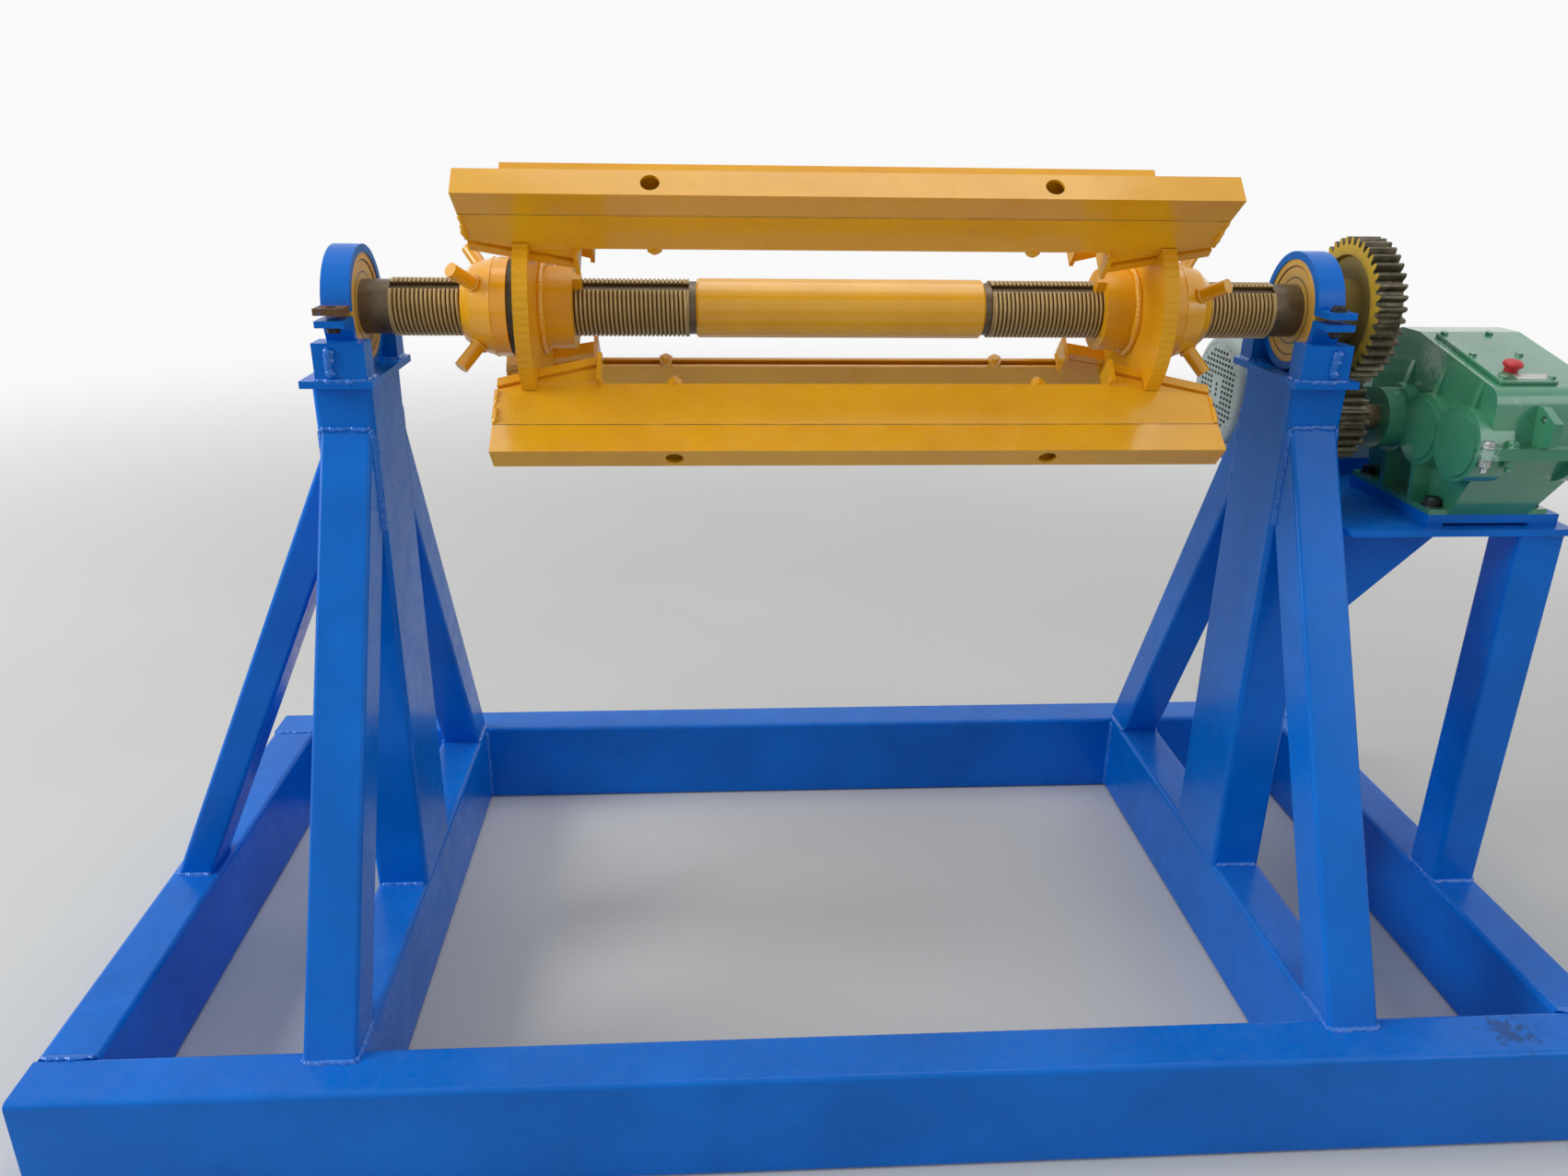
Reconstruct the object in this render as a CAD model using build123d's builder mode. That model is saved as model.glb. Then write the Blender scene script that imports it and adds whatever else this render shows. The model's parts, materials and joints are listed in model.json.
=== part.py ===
"""Powered decoiler: a welded frame with two pedestals that carries an expanding mandrel.

X runs along the mandrel, Y to the rear and Z up. The origin is on the floor under the middle
of the base frame. All sizes are in millimetres.
"""
from build123d import *
from math import atan2, cos, pi, radians, sin, sqrt, tan
import os

os.makedirs("parts", exist_ok=True)

# Base frame of rectangular tube
base_length = 2140
base_depth = 1050
beam_height = 160
beam_width = 80
beam_wall = 5
beam_corner = 8
cross_beam_inner = 648
end_cap_thickness = 5

# Pedestals
axis_height = 1063
column_depth = 160
column_width = 80
plate_thickness = 10
housing_floor_gap = 1
top_plate_start = 637
top_plate_width = {"left": 98, "right": 93}
top_plate_depth = 210
leg_size = 70
leg_wall = 4
leg_corner = 6
leg_foot_outer = 470
leg_top_drop = 60
brace_depth = 80
brace_width = 50
brace_foot_outer = 1058
brace_top_drop = 80

# Bearings and their split housings
bearing_outer_diameter = 146
bearing_width = 34
bearing_inset = 2
bearing_recess = 1.5
bearing_ring_wall = 9
housing_wall = 11
housing_width = 38
housing_inner_face = 662
split_gap = 7
ear_reach = 36
ear_thickness = 9
ear_hole = 14
stand_inner_face = 645
stand_width = 69
stand_height = 50
stand_depth = 38
stand_inset = 4

# Spindle
journal_diameter = 75
thread_diameter = 80
thread_inner_end = 214
thread_outer_end = 624
relief_diameter = 73
centre_tube_half = 204
centre_tube_diameter = 82
centre_tube_chamfer = 3
keyway_width = 14
keyway_depth = 6
keyway_angle = 125
gear_seat_diameter = 60
shaft_end_reach = 10
running_clearance = 0.06
seat_clearance = 0.3

# Gear pair
gear_module = 5
gear_teeth = 40
pinion_teeth = 23
pressure_angle = 20
tooth_backlash = 0.3
gear_face = 40
gear_start = 738
gear_hub_gap = 6
gear_web_recess = 8
gear_rim = 14
gear_hub_diameter = 92
pinion_extra_face = 4
output_shaft_diameter = 38
output_shaft_reach = 3

# Wedge carriers, which slide on the threads
carrier_plate_mid = 429
carrier_plate_thickness = 20
carrier_plate_radius = 145
carrier_clearance = 0.1
sleeve_radius = 57
sleeve_inner_end = 373
sleeve_weld = 6
key_head_length = 12
key_cover = 4
key_clearance = 0.6

# Nuts with bar handles
nut_radius = 68
nut_shoulder_radius = 59
nut_small_radius = 47
nut_inner_face = 461
nut_cylinder_length = 22
nut_shoulder_length = 14
nut_length = 65
thrust_ring_radius = 65
thrust_ring_clearance = 1
handle_diameter = 20
handle_tilt = 33
handle_root_x = 500
handle_root_radius = 51
handle_length = 52
handle_count = 4
handle_first_angle = {"left": 52, "right": 62}

# Expanding petals, of which the front ones sit off the middle
petal_length = 988
petal_shift = {"top_rear": 0, "top_front": -4, "bottom_front": 19, "bottom_rear": 0}
petal_outer_radius = 246
petal_fold_radius = 200
petal_inner_radius = 133
petal_outer_width = 39
petal_fold_width = 23
petal_inner_width = 16
petal_wall = 4
petal_end_plate = 5
petal_hole_diameter = 24
petal_hole_spacing = 505
petal_slot_width = 20
wedge_angle = 15
rail_outer_end = 492
rail_inner_end = 358
rail_web = 8
rail_neck = 5
rail_flange_width = 20
rail_flange_thickness = 12
rail_mid_radius = 120
rail_weld_radius = 160
rail_stop_width = 40
rail_stop_thickness = 6
slot_clearance = 0.6
slot_reach = 45

# Gearbox platform
platform_plate = 10
platform_front = 150
platform_rear = 330
platform_outer = 1070
platform_corner_cut = 12
post_size = 70
post_wall = 4
post_outer = 1065
post_front = 141
gusset_reach = 210
gusset_thickness = 10
gusset_offset = 60
mount_rail_height = 18
mount_rail_width = 60
mount_rail_relief = 5
mount_rail_overhang = {"left": 12, "right": 32}

# Gearbox
gearbox_shaft_height = 114.5
case_left = 866
case_width = 154
case_foot_width = 120
case_front = 215
case_rear = 98
case_ridge_height = 128
case_ridge_rear = 50
case_slope_height = 80
case_slope_front = 205
case_corner = 14
case_nose = 26
case_front_foot = 133
case_rear_foot = 85
foot_thickness = 8
foot_overhang = 12
flange_overhang = 16
flange_thickness = 8
seat_diameter = 104
seat_reach = 18
seat_root = 30
end_cap_diameter = 90
middle_cap_diameter = 88
end_cap_projection = 4
middle_shaft_distance = 78
input_shaft_distance = 168
output_boss_diameter = 90
output_boss_face = 820
rib_thickness = 10
rib_rise = 34
cover_start = 14
cover_thickness = 6
cover_width = 84
cover_corner = 6
cover_chamfer = 1
cover_front = 184
cover_rear = 14
breather_start = 47
breather_front = 150
breather_diameter = 26
breather_neck = 18
breather_height = 16
breather_chamfer = 2
lug_start = 57
lug_thickness = 12
lug_reach = 34
lug_height = 54
lug_top_reach = 11
lug_nose_height = 38
lug_hole = 11
lug_hole_reach = 11
lug_hole_height = 39
input_shaft_diameter = 28
input_shaft_reach = 32
input_key_width = 8
input_key_length = 22

# Motor
motor_centre_height = 100
motor_rear = 232
motor_body_radius = 82
motor_body_length = 212
motor_fin_count = 24
motor_fin_height = 8
motor_fin_thickness = 3
motor_fin_root = 2
motor_fin_margin = 12
motor_spigot = 14
motor_shield_length = 14
motor_cowl_radius = 92
motor_cowl_start = 672
motor_cowl_length = 66
motor_cowl_wall = 2
motor_cowl_edge = 8
motor_foot_width = 152
motor_foot_length = 150
motor_foot_thickness = 12
motor_saddle_half = 66
motor_shaft_diameter = 24
motor_shaft_length = 50
motor_tray_start = 690
motor_tray_length = 300
motor_tray_depth = 160
motor_tray_height = 27
motor_tray_wall = 5
terminal_box_size = 78
terminal_box_height = 46
terminal_box_corner = 8

# Sizes that follow from the driving ones
half_length = base_length / 2
half_depth = base_depth / 2
cross_middle = cross_beam_inner + beam_width / 2
column_outer = cross_beam_inner + column_width
bearing_radius = bearing_outer_diameter / 2
housing_radius = bearing_radius + housing_wall
stand_base = axis_height - housing_radius - housing_floor_gap
column_top = stand_base - plate_thickness
leg_top_height = column_top - leg_top_drop
brace_top_height = column_top - brace_top_drop
housing_outer_face = housing_inner_face + housing_width
bearing_start = housing_inner_face + bearing_inset
gear_pitch_radius = gear_module * gear_teeth / 2
pinion_pitch_radius = gear_module * pinion_teeth / 2
tooth_root_depth = 1.25 * gear_module
split_height = axis_height - gear_pitch_radius - pinion_pitch_radius
rail_top = split_height - gearbox_shaft_height
platform_top = rail_top - mount_rail_height
tray_top = platform_top + motor_tray_height
motor_axis_height = tray_top + motor_centre_height
gear_end = gear_start + gear_face
pinion_start = gear_start - pinion_extra_face / 2
pinion_end = gear_end + pinion_extra_face / 2
petal_angles = {"top_rear": 45, "top_front": 135, "bottom_front": 225, "bottom_rear": 315}
sides = {"left": -1, "right": 1}
spin_axis = Axis((0, 0, axis_height), (1, 0, 0))
spin_plane = Plane(origin=(0, 0, axis_height), x_dir=(1, 0, 0), z_dir=(0, -1, 0))


def tube_profile(width, height, wall, corner):
    """Rectangular hollow section, rounded outside, drawn in the current sketch."""
    RectangleRounded(width, height, corner)
    Rectangle(width - 2 * wall, height - 2 * wall, mode=Mode.SUBTRACT)


def save(name, label, colour):
    """Label a finished piece and write it."""
    name.part.label = label
    name.part.color = colour
    export_step(name.part, f"parts/{label}.step")


blue = Color(0.09, 0.33, 0.75)
yellow = Color(0.88, 0.62, 0.13)
green = Color(0.16, 0.42, 0.30)
steel = Color(0.45, 0.42, 0.36)
grey = Color(0.70, 0.76, 0.74)
red = Color(0.75, 0.12, 0.10)

# Base frame: the front and rear beams run the whole length and are capped at their ends
for label, place in (("beam_front", -1), ("beam_rear", 1)):
    with BuildPart() as beam:
        middle = place * (half_depth - beam_width / 2)
        with BuildSketch(Plane(origin=(0, middle, beam_height / 2), x_dir=(0, 1, 0), z_dir=(1, 0, 0))):
            tube_profile(beam_width, beam_height, beam_wall, beam_corner)
        extrude(amount=half_length, both=True)
        for end in (-1, 1):
            cap_middle = (end * (half_length - end_cap_thickness), middle, beam_height / 2)
            with BuildSketch(Plane(origin=cap_middle, x_dir=(0, 1, 0), z_dir=(end, 0, 0))):
                RectangleRounded(beam_width, beam_height, beam_corner)
            extrude(amount=end_cap_thickness)
    save(beam, label, blue)

cross_places = {
    "beam_end_left": -half_length + beam_width / 2,
    "beam_cross_left": -cross_middle,
    "beam_cross_right": cross_middle,
    "beam_end_right": half_length - beam_width / 2,
}
for label, place in cross_places.items():
    with BuildPart() as beam:
        with BuildSketch(Plane(origin=(place, 0, beam_height / 2), x_dir=(1, 0, 0), z_dir=(0, -1, 0))):
            tube_profile(beam_width, beam_height, beam_wall, beam_corner)
        extrude(amount=half_depth - beam_width, both=True)
    save(beam, label, blue)

# Pedestals: a box column with a leaning leg in front and behind, and a top plate
leg_lean = atan2(leg_foot_outer - column_depth / 2, leg_top_height - beam_height)
leg_half_depth = leg_size / 2 / cos(leg_lean)
for side, sign in sides.items():
    with BuildPart() as column:
        with BuildSketch(Plane.XY.offset(beam_height)):
            with Locations((sign * cross_middle, 0)):
                tube_profile(column_width, column_depth, beam_wall, beam_corner)
        extrude(amount=column_top - beam_height)
    save(column, f"column_{side}", blue)

    for label, place in (("front", -1), ("rear", 1)):
        with BuildPart() as leg:
            foot = Vector(sign * cross_middle, place * (leg_foot_outer - leg_half_depth), beam_height)
            along = Vector(0, -place * sin(leg_lean), cos(leg_lean))
            with BuildSketch(Plane(origin=foot - along * leg_size, x_dir=(1, 0, 0), z_dir=along)):
                tube_profile(leg_size, leg_size, leg_wall, leg_corner)
            extrude(amount=leg_top_height / cos(leg_lean))
            split(bisect_by=Plane.XY.offset(beam_height), keep=Keep.TOP)
            column_face = Plane(origin=(0, place * column_depth / 2, 0), z_dir=(0, place, 0))
            split(bisect_by=column_face, keep=Keep.TOP)
        save(leg, f"leg_{label}_{side}", blue)

    with BuildPart() as top_plate:
        with BuildSketch(Plane.XY.offset(column_top)):
            with Locations((sign * (top_plate_start + top_plate_width[side] / 2), 0)):
                Rectangle(top_plate_width[side], top_plate_depth)
        extrude(amount=plate_thickness)
    save(top_plate, f"top_plate_{side}", blue)

# The left pedestal leans on the end beam by a flat brace
brace_lean = atan2(brace_foot_outer - column_outer, brace_top_height - beam_height)
brace_half = brace_width / 2 / cos(brace_lean)
with BuildPart() as brace:
    foot = Vector(-brace_foot_outer + brace_half, 0, beam_height)
    along = Vector(sin(brace_lean), 0, cos(brace_lean))
    with BuildSketch(Plane(origin=foot - along * brace_width, x_dir=(0, 1, 0), z_dir=along)):
        tube_profile(brace_depth, brace_width, leg_wall, leg_corner)
    extrude(amount=brace_top_height / cos(brace_lean))
    split(bisect_by=Plane.XY.offset(beam_height), keep=Keep.TOP)
    split(bisect_by=Plane(origin=(-column_outer, 0, 0), z_dir=(-1, 0, 0)), keep=Keep.TOP)
save(brace, "brace_left", blue)

# Split bearing housings on welded stands, bolted through their ears
for side, sign in sides.items():
    inner = sign * housing_inner_face
    section = Plane(origin=(inner, 0, axis_height), x_dir=(0, sign, 0), z_dir=(sign, 0, 0))
    ear_middle = housing_radius + ear_reach / 2 - housing_wall / 2
    ear_width = ear_reach + housing_wall
    ear_plane = Plane.XY.move(Location((inner + sign * housing_width / 2, 0, axis_height)))
    ear_spacing = 2 * housing_radius + ear_reach
    with BuildPart() as lower:
        with BuildSketch(section):
            Circle(housing_radius)
            with Locations((0, housing_radius)):
                Rectangle(2 * housing_radius, 2 * housing_radius, mode=Mode.SUBTRACT)
            with Locations((ear_middle, -split_gap / 2 - ear_thickness / 2),
                           (-ear_middle, -split_gap / 2 - ear_thickness / 2)):
                Rectangle(ear_width, ear_thickness)
            Rectangle(2 * housing_radius, split_gap, mode=Mode.SUBTRACT)
        extrude(amount=housing_width)
        stand_middle = top_plate_depth / 2 - stand_inset - stand_depth / 2
        stand_centre_height = stand_base + stand_height / 2 - axis_height
        with BuildSketch(section.offset(stand_inner_face - housing_inner_face)):
            with Locations((stand_middle, stand_centre_height), (-stand_middle, stand_centre_height)):
                Rectangle(stand_depth, stand_height)
        extrude(amount=stand_width)
        with BuildSketch(section):
            Circle(bearing_radius + running_clearance)
        extrude(amount=housing_width, mode=Mode.SUBTRACT)
        with BuildSketch(ear_plane):
            with GridLocations(0, ear_spacing, 1, 2):
                Circle(ear_hole / 2)
        extrude(amount=-2 * ear_thickness, mode=Mode.SUBTRACT)
    save(lower, f"housing_lower_{side}", blue)

    with BuildPart() as upper:
        with BuildSketch(section):
            Circle(housing_radius)
            with Locations((0, -housing_radius)):
                Rectangle(2 * housing_radius, 2 * housing_radius, mode=Mode.SUBTRACT)
            with Locations((ear_middle, split_gap / 2 + ear_thickness / 2),
                           (-ear_middle, split_gap / 2 + ear_thickness / 2)):
                Rectangle(ear_width, ear_thickness)
            Rectangle(2 * housing_radius, split_gap, mode=Mode.SUBTRACT)
            Circle(bearing_radius + running_clearance, mode=Mode.SUBTRACT)
        extrude(amount=housing_width)
        with BuildSketch(ear_plane):
            with GridLocations(0, ear_spacing, 1, 2):
                Circle(ear_hole / 2)
        extrude(amount=2 * ear_thickness, mode=Mode.SUBTRACT)
    save(upper, f"housing_cap_{side}", blue)

    # Bearing with its inner ring and shield set back from the outer ring's faces
    bore = journal_diameter / 2 + running_clearance
    ring_edge = bearing_radius - bearing_ring_wall
    start = sign * bearing_start
    end = sign * (bearing_start + bearing_width)
    recess = sign * bearing_recess
    with BuildPart() as bearing:
        with BuildSketch(spin_plane):
            with BuildLine():
                Polyline((start + recess, bore), (start + recess, ring_edge), (start, ring_edge),
                         (start, bearing_radius), (end, bearing_radius), (end, ring_edge),
                         (end - recess, ring_edge), (end - recess, bore), close=True)
            make_face()
        revolve(axis=spin_axis)
    save(bearing, f"bearing_{side}", yellow)


def section_plane(place, height=axis_height, turn=90):
    """Plane square to X at a place along it, whose own Y points at an angle from the rear."""
    angle = radians(turn)
    return Plane(origin=(place, 0, height), x_dir=(0, sin(angle), -cos(angle)), z_dir=(1, 0, 0))


def radial_plane(turn):
    """Plane through the spindle axis, with X along it and Y outward at an angle from the rear."""
    angle = radians(turn)
    return Plane(origin=(0, 0, axis_height), x_dir=(1, 0, 0), z_dir=(0, -sin(angle), cos(angle)))


def gear_points(teeth, first_angle):
    """Corners of a gear's outline; each flank is straight from root to pitch circle and on to the tip."""
    pitch = gear_module * teeth / 2
    base = pitch * cos(radians(pressure_angle))
    tip = pitch + gear_module
    root = pitch - tooth_root_depth
    half = pi / (2 * teeth) - tooth_backlash / (4 * pitch)
    involute = tan(radians(pressure_angle)) - radians(pressure_angle)

    def flank_angle(radius):
        slope = sqrt((radius / base) ** 2 - 1)
        return half + involute - (slope - atan2(slope, 1))

    flank = [(root, flank_angle(base)), (pitch, flank_angle(pitch)), (tip, flank_angle(tip))]
    points = []
    for tooth in range(teeth):
        middle = radians(first_angle) + tooth * 2 * pi / teeth
        corners = [(radius, middle - turn) for radius, turn in flank]
        corners += [(radius, middle + turn) for radius, turn in reversed(flank)]
        points += [(radius * cos(angle), radius * sin(angle)) for radius, angle in corners]
    return points


# Spindle: journals, long threads, a relief at each thread's inner end and a seat for the gear
journal = journal_diameter / 2
thread = thread_diameter / 2
gear_seat = gear_seat_diameter / 2
gear_hub_start = housing_outer_face + gear_hub_gap
shaft_right_end = gear_end + shaft_end_reach
shaft_left_end = -housing_outer_face - shaft_end_reach
with BuildPart() as spindle_shaft:
    with BuildSketch(spin_plane):
        with BuildLine():
            Polyline((shaft_left_end, 0), (shaft_left_end, journal),
                     (-thread_outer_end, journal), (-thread_outer_end, thread), (-thread_inner_end, thread),
                     (-thread_inner_end, relief_diameter / 2), (-centre_tube_half, relief_diameter / 2),
                     (-centre_tube_half, journal), (centre_tube_half, journal),
                     (centre_tube_half, relief_diameter / 2), (thread_inner_end, relief_diameter / 2),
                     (thread_inner_end, thread), (thread_outer_end, thread), (thread_outer_end, journal),
                     (gear_hub_start, journal), (gear_hub_start, gear_seat), (shaft_right_end, gear_seat),
                     (shaft_right_end, 0), close=True)
        make_face()
    revolve(axis=spin_axis)
    for sign in sides.values():
        with BuildSketch(section_plane(sign * thread_inner_end, turn=keyway_angle)):
            with Locations((0, thread)):
                Rectangle(keyway_width, 2 * keyway_depth)
        extrude(amount=sign * (thread_outer_end - thread_inner_end), mode=Mode.SUBTRACT)
save(spindle_shaft, "spindle_shaft", steel)

with BuildPart() as centre_tube:
    with BuildSketch(section_plane(0)):
        Circle(centre_tube_diameter / 2)
        Circle(journal + running_clearance, mode=Mode.SUBTRACT)
    extrude(amount=centre_tube_half - seat_clearance, both=True)
    rims = centre_tube.edges().filter_by(GeomType.CIRCLE).filter_by(lambda e: e.radius > thread)
    chamfer(rims, length=centre_tube_chamfer)
save(centre_tube, "centre_tube", yellow)

# Gear pair: the large gear on the spindle has a tooth straight down, the pinion a gap straight up
rim_inner = gear_pitch_radius - tooth_root_depth - gear_rim
with BuildPart() as spindle_gear:
    with BuildSketch(section_plane(gear_start)):
        with BuildLine():
            Polyline(*gear_points(gear_teeth, -90), close=True)
        make_face()
    extrude(amount=gear_face)
    with BuildSketch(section_plane(gear_hub_start + seat_clearance)):
        Circle(gear_hub_diameter / 2)
    extrude(amount=gear_start - gear_hub_start - seat_clearance)
    for face, direction in ((gear_start, 1), (gear_end, -1)):
        with BuildSketch(section_plane(face)):
            Circle(rim_inner)
            Circle(gear_hub_diameter / 2, mode=Mode.SUBTRACT)
        extrude(amount=direction * gear_web_recess, mode=Mode.SUBTRACT)
    with BuildSketch(section_plane(gear_hub_start)):
        Circle(gear_seat + running_clearance)
    extrude(amount=gear_end - gear_hub_start, mode=Mode.SUBTRACT)
save(spindle_gear, "spindle_gear", yellow)

with BuildPart() as pinion:
    with BuildSketch(section_plane(pinion_start, split_height)):
        with BuildLine():
            Polyline(*gear_points(pinion_teeth, 90 + 180 / pinion_teeth), close=True)
        make_face()
        Circle(output_shaft_diameter / 2 + running_clearance, mode=Mode.SUBTRACT)
    extrude(amount=pinion_end - pinion_start)
save(pinion, "pinion", steel)

output_shaft_start = pinion_start - output_shaft_reach
with BuildPart() as output_shaft:
    with BuildSketch(section_plane(output_shaft_start, split_height)):
        Circle(output_shaft_diameter / 2)
    extrude(amount=case_left - seat_reach - output_shaft_start)
save(output_shaft, "output_shaft", steel)

# Wedge carriers: a sleeve on the thread, a round plate and four leaning T slots
slope = tan(radians(wedge_angle))
flange_rise = rail_flange_thickness / 2 / cos(radians(wedge_angle))
body_rise = (rail_flange_thickness / 2 + rail_neck) / cos(radians(wedge_angle))


def rail_radius(place):
    """Radius of a rail flange's middle at a place along the spindle."""
    return rail_mid_radius + slope * (abs(place) - carrier_plate_mid)


plate_inner = carrier_plate_mid - carrier_plate_thickness / 2
plate_outer = carrier_plate_mid + carrier_plate_thickness / 2
mouth_start = rail_flange_thickness / 2 + rail_neck - slot_clearance
for side, sign in sides.items():
    with BuildPart() as carrier:
        bore = thread + carrier_clearance
        with BuildSketch(spin_plane):
            with BuildLine():
                Polyline((sign * sleeve_inner_end, bore), (sign * sleeve_inner_end, sleeve_radius),
                         (sign * (plate_inner - sleeve_weld), sleeve_radius),
                         (sign * plate_inner, sleeve_radius + sleeve_weld),
                         (sign * plate_inner, carrier_plate_radius),
                         (sign * plate_outer, carrier_plate_radius), (sign * plate_outer, bore), close=True)
            make_face()
        revolve(axis=spin_axis)
        for turn in petal_angles.values():
            outward = Vector(0, cos(radians(turn)), sin(radians(turn)))
            across = Vector(0, sign * sin(radians(turn)), -sign * cos(radians(turn)))
            lean = Vector(sign * cos(radians(wedge_angle)), 0, 0) + outward * sin(radians(wedge_angle))
            middle = Vector(sign * carrier_plate_mid, 0, axis_height) + outward * rail_mid_radius
            with BuildSketch(Plane(origin=middle, x_dir=across, z_dir=lean)):
                Rectangle(rail_flange_width + 2 * slot_clearance, rail_flange_thickness + 2 * slot_clearance)
                with Locations((0, slot_reach / 2)):
                    Rectangle(rail_web + 2 * slot_clearance, slot_reach)
                with Locations((0, mouth_start + slot_reach / 2)):
                    Rectangle(petal_slot_width, slot_reach)
            extrude(amount=2 * carrier_plate_thickness, both=True, mode=Mode.SUBTRACT)
        key_bottom = thread - keyway_depth + key_clearance
        key_top = sleeve_radius - key_cover
        key_width = keyway_width - key_clearance
        with BuildSketch(section_plane(sign * sleeve_inner_end, turn=keyway_angle)):
            with Locations((0, (key_bottom + key_top) / 2)):
                Rectangle(key_width, key_top - key_bottom)
        extrude(amount=sign * (plate_inner - sleeve_inner_end))
        with BuildSketch(section_plane(sign * sleeve_inner_end, turn=keyway_angle)):
            with Locations((0, (key_bottom + sleeve_radius) / 2)):
                Rectangle(key_width, sleeve_radius - key_bottom)
        extrude(amount=-sign * key_head_length)
    save(carrier, f"carrier_{side}", yellow)

    with BuildPart() as thrust_ring:
        with BuildSketch(section_plane(sign * plate_outer)):
            Circle(thrust_ring_radius)
            Circle(thread + thrust_ring_clearance, mode=Mode.SUBTRACT)
        extrude(amount=sign * (nut_inner_face - plate_outer - seat_clearance))
    save(thrust_ring, f"thrust_ring_{side}", steel)

    with BuildPart() as nut:
        bore = thread + running_clearance
        nut_outer = nut_inner_face + nut_length
        with BuildSketch(spin_plane):
            with BuildLine():
                Polyline((sign * nut_inner_face, bore), (sign * nut_inner_face, nut_radius),
                         (sign * (nut_inner_face + nut_cylinder_length), nut_radius),
                         (sign * (nut_outer - nut_shoulder_length), nut_shoulder_radius),
                         (sign * nut_outer, nut_small_radius), (sign * nut_outer, bore), close=True)
            make_face()
        revolve(axis=spin_axis)
        for k in range(handle_count):
            turn = radians(handle_first_angle[side] + k * 360 / handle_count)
            outward = Vector(0, cos(turn), sin(turn))
            along = Vector(sign * sin(radians(handle_tilt)), 0, 0) + outward * cos(radians(handle_tilt))
            root = Vector(sign * handle_root_x, 0, axis_height) + outward * handle_root_radius
            with BuildSketch(Plane(origin=root, x_dir=along.cross(Vector(1, 0, 0)), z_dir=along)):
                Circle(handle_diameter / 2)
            extrude(amount=handle_length)
    save(nut, f"nut_{side}", yellow)

# Petals: folded plate, narrow outside, closed at both ends, with an inclined T rail under each end
petal_half = petal_length / 2
hollow_half = petal_half - petal_end_plate
for label, turn in petal_angles.items():
    shift = petal_shift[label]
    outline = [(-petal_outer_width / 2, petal_outer_radius), (petal_outer_width / 2, petal_outer_radius),
               (petal_fold_width / 2, petal_fold_radius), (petal_inner_width / 2, petal_inner_radius),
               (-petal_inner_width / 2, petal_inner_radius), (-petal_fold_width / 2, petal_fold_radius)]
    with BuildPart() as petal:
        with BuildSketch(section_plane(shift, turn=turn)):
            with BuildLine():
                Polyline(*outline, close=True)
            make_face()
        extrude(amount=petal_half, both=True)
        with BuildSketch(section_plane(shift, turn=turn)):
            with BuildLine():
                Polyline(*outline, close=True)
            make_face()
            offset(amount=-petal_wall, kind=Kind.INTERSECTION, mode=Mode.REPLACE)
        extrude(amount=hollow_half, both=True, mode=Mode.SUBTRACT)
        with BuildSketch(section_plane(shift, turn=turn)):
            with Locations((0, petal_inner_radius)):
                Rectangle(rail_web, 3 * petal_wall)
        extrude(amount=hollow_half, both=True, mode=Mode.SUBTRACT)
        for sign in sides.values():
            inner = sign * rail_inner_end + shift
            end = sign * petal_half + shift
            low = rail_radius(inner)
            with BuildSketch(radial_plane(turn)):
                with BuildLine():
                    Polyline((inner, low), (end, low), (end, rail_radius(end) + body_rise),
                             (inner, low + body_rise), close=True)
                make_face()
            extrude(amount=petal_outer_width / 2, both=True, mode=Mode.SUBTRACT)
        outward = Vector(0, cos(radians(turn)), sin(radians(turn)))
        face_plane = Plane(origin=Vector(shift, 0, axis_height) + outward * petal_outer_radius,
                           x_dir=(1, 0, 0), z_dir=outward)
        with BuildSketch(face_plane):
            with GridLocations(petal_hole_spacing, 0, 2, 1):
                Circle(petal_hole_diameter / 2)
        extrude(amount=-2 * petal_wall, mode=Mode.SUBTRACT)
    save(petal, f"petal_{label}", yellow)

    with BuildPart() as rails:
        for sign in sides.values():
            inner = sign * rail_inner_end + shift
            outer = sign * rail_outer_end + shift
            hollow_end = sign * hollow_half + shift
            stop = inner - sign * rail_stop_thickness
            meet = sign * (carrier_plate_mid + (petal_inner_radius - rail_mid_radius - body_rise) / slope)
            low = rail_radius(inner)
            high = rail_radius(outer)
            bottom = low - flange_rise
            web = [(inner, low), (outer, high), (outer, high + body_rise),
                   (hollow_end, rail_radius(hollow_end) + body_rise), (hollow_end, rail_weld_radius),
                   (inner, rail_weld_radius)]
            flange = [(inner, bottom), (outer, high - flange_rise), (outer, high + flange_rise),
                      (inner, low + flange_rise)]
            body = [(inner, low + body_rise), (meet, petal_inner_radius), (inner, petal_inner_radius)]
            stop_plate = [(inner, bottom), (stop, bottom), (stop, petal_inner_radius),
                          (inner, petal_inner_radius)]
            widths = (rail_web, rail_flange_width, petal_inner_width, rail_stop_width)
            for corners, width in zip((web, flange, body, stop_plate), widths):
                with BuildSketch(radial_plane(turn)):
                    with BuildLine():
                        Polyline(*corners, close=True)
                    make_face()
                extrude(amount=width / 2, both=True)
    save(rails, f"wedge_rails_{label}", yellow)

# Platform for the gearbox and motor, on a post at its outer end and a gusset on the column
plate_bottom = platform_top - platform_plate
with BuildPart() as platform:
    with BuildSketch(Plane.XY.offset(plate_bottom)):
        with BuildLine():
            Polyline((column_outer, -platform_front + platform_corner_cut),
                     (column_outer + platform_corner_cut, -platform_front),
                     (platform_outer, -platform_front), (platform_outer, platform_rear),
                     (column_outer, platform_rear), close=True)
        make_face()
    extrude(amount=platform_plate)
save(platform, "platform_plate", blue)

post_middle = (post_outer - post_size / 2, -post_front + post_size / 2)
with BuildPart() as post:
    with BuildSketch(Plane.XY.offset(beam_height)):
        with Locations(post_middle):
            tube_profile(post_size, post_size, post_wall, leg_corner)
    extrude(amount=plate_bottom - beam_height)
save(post, "platform_post", blue)

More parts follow.
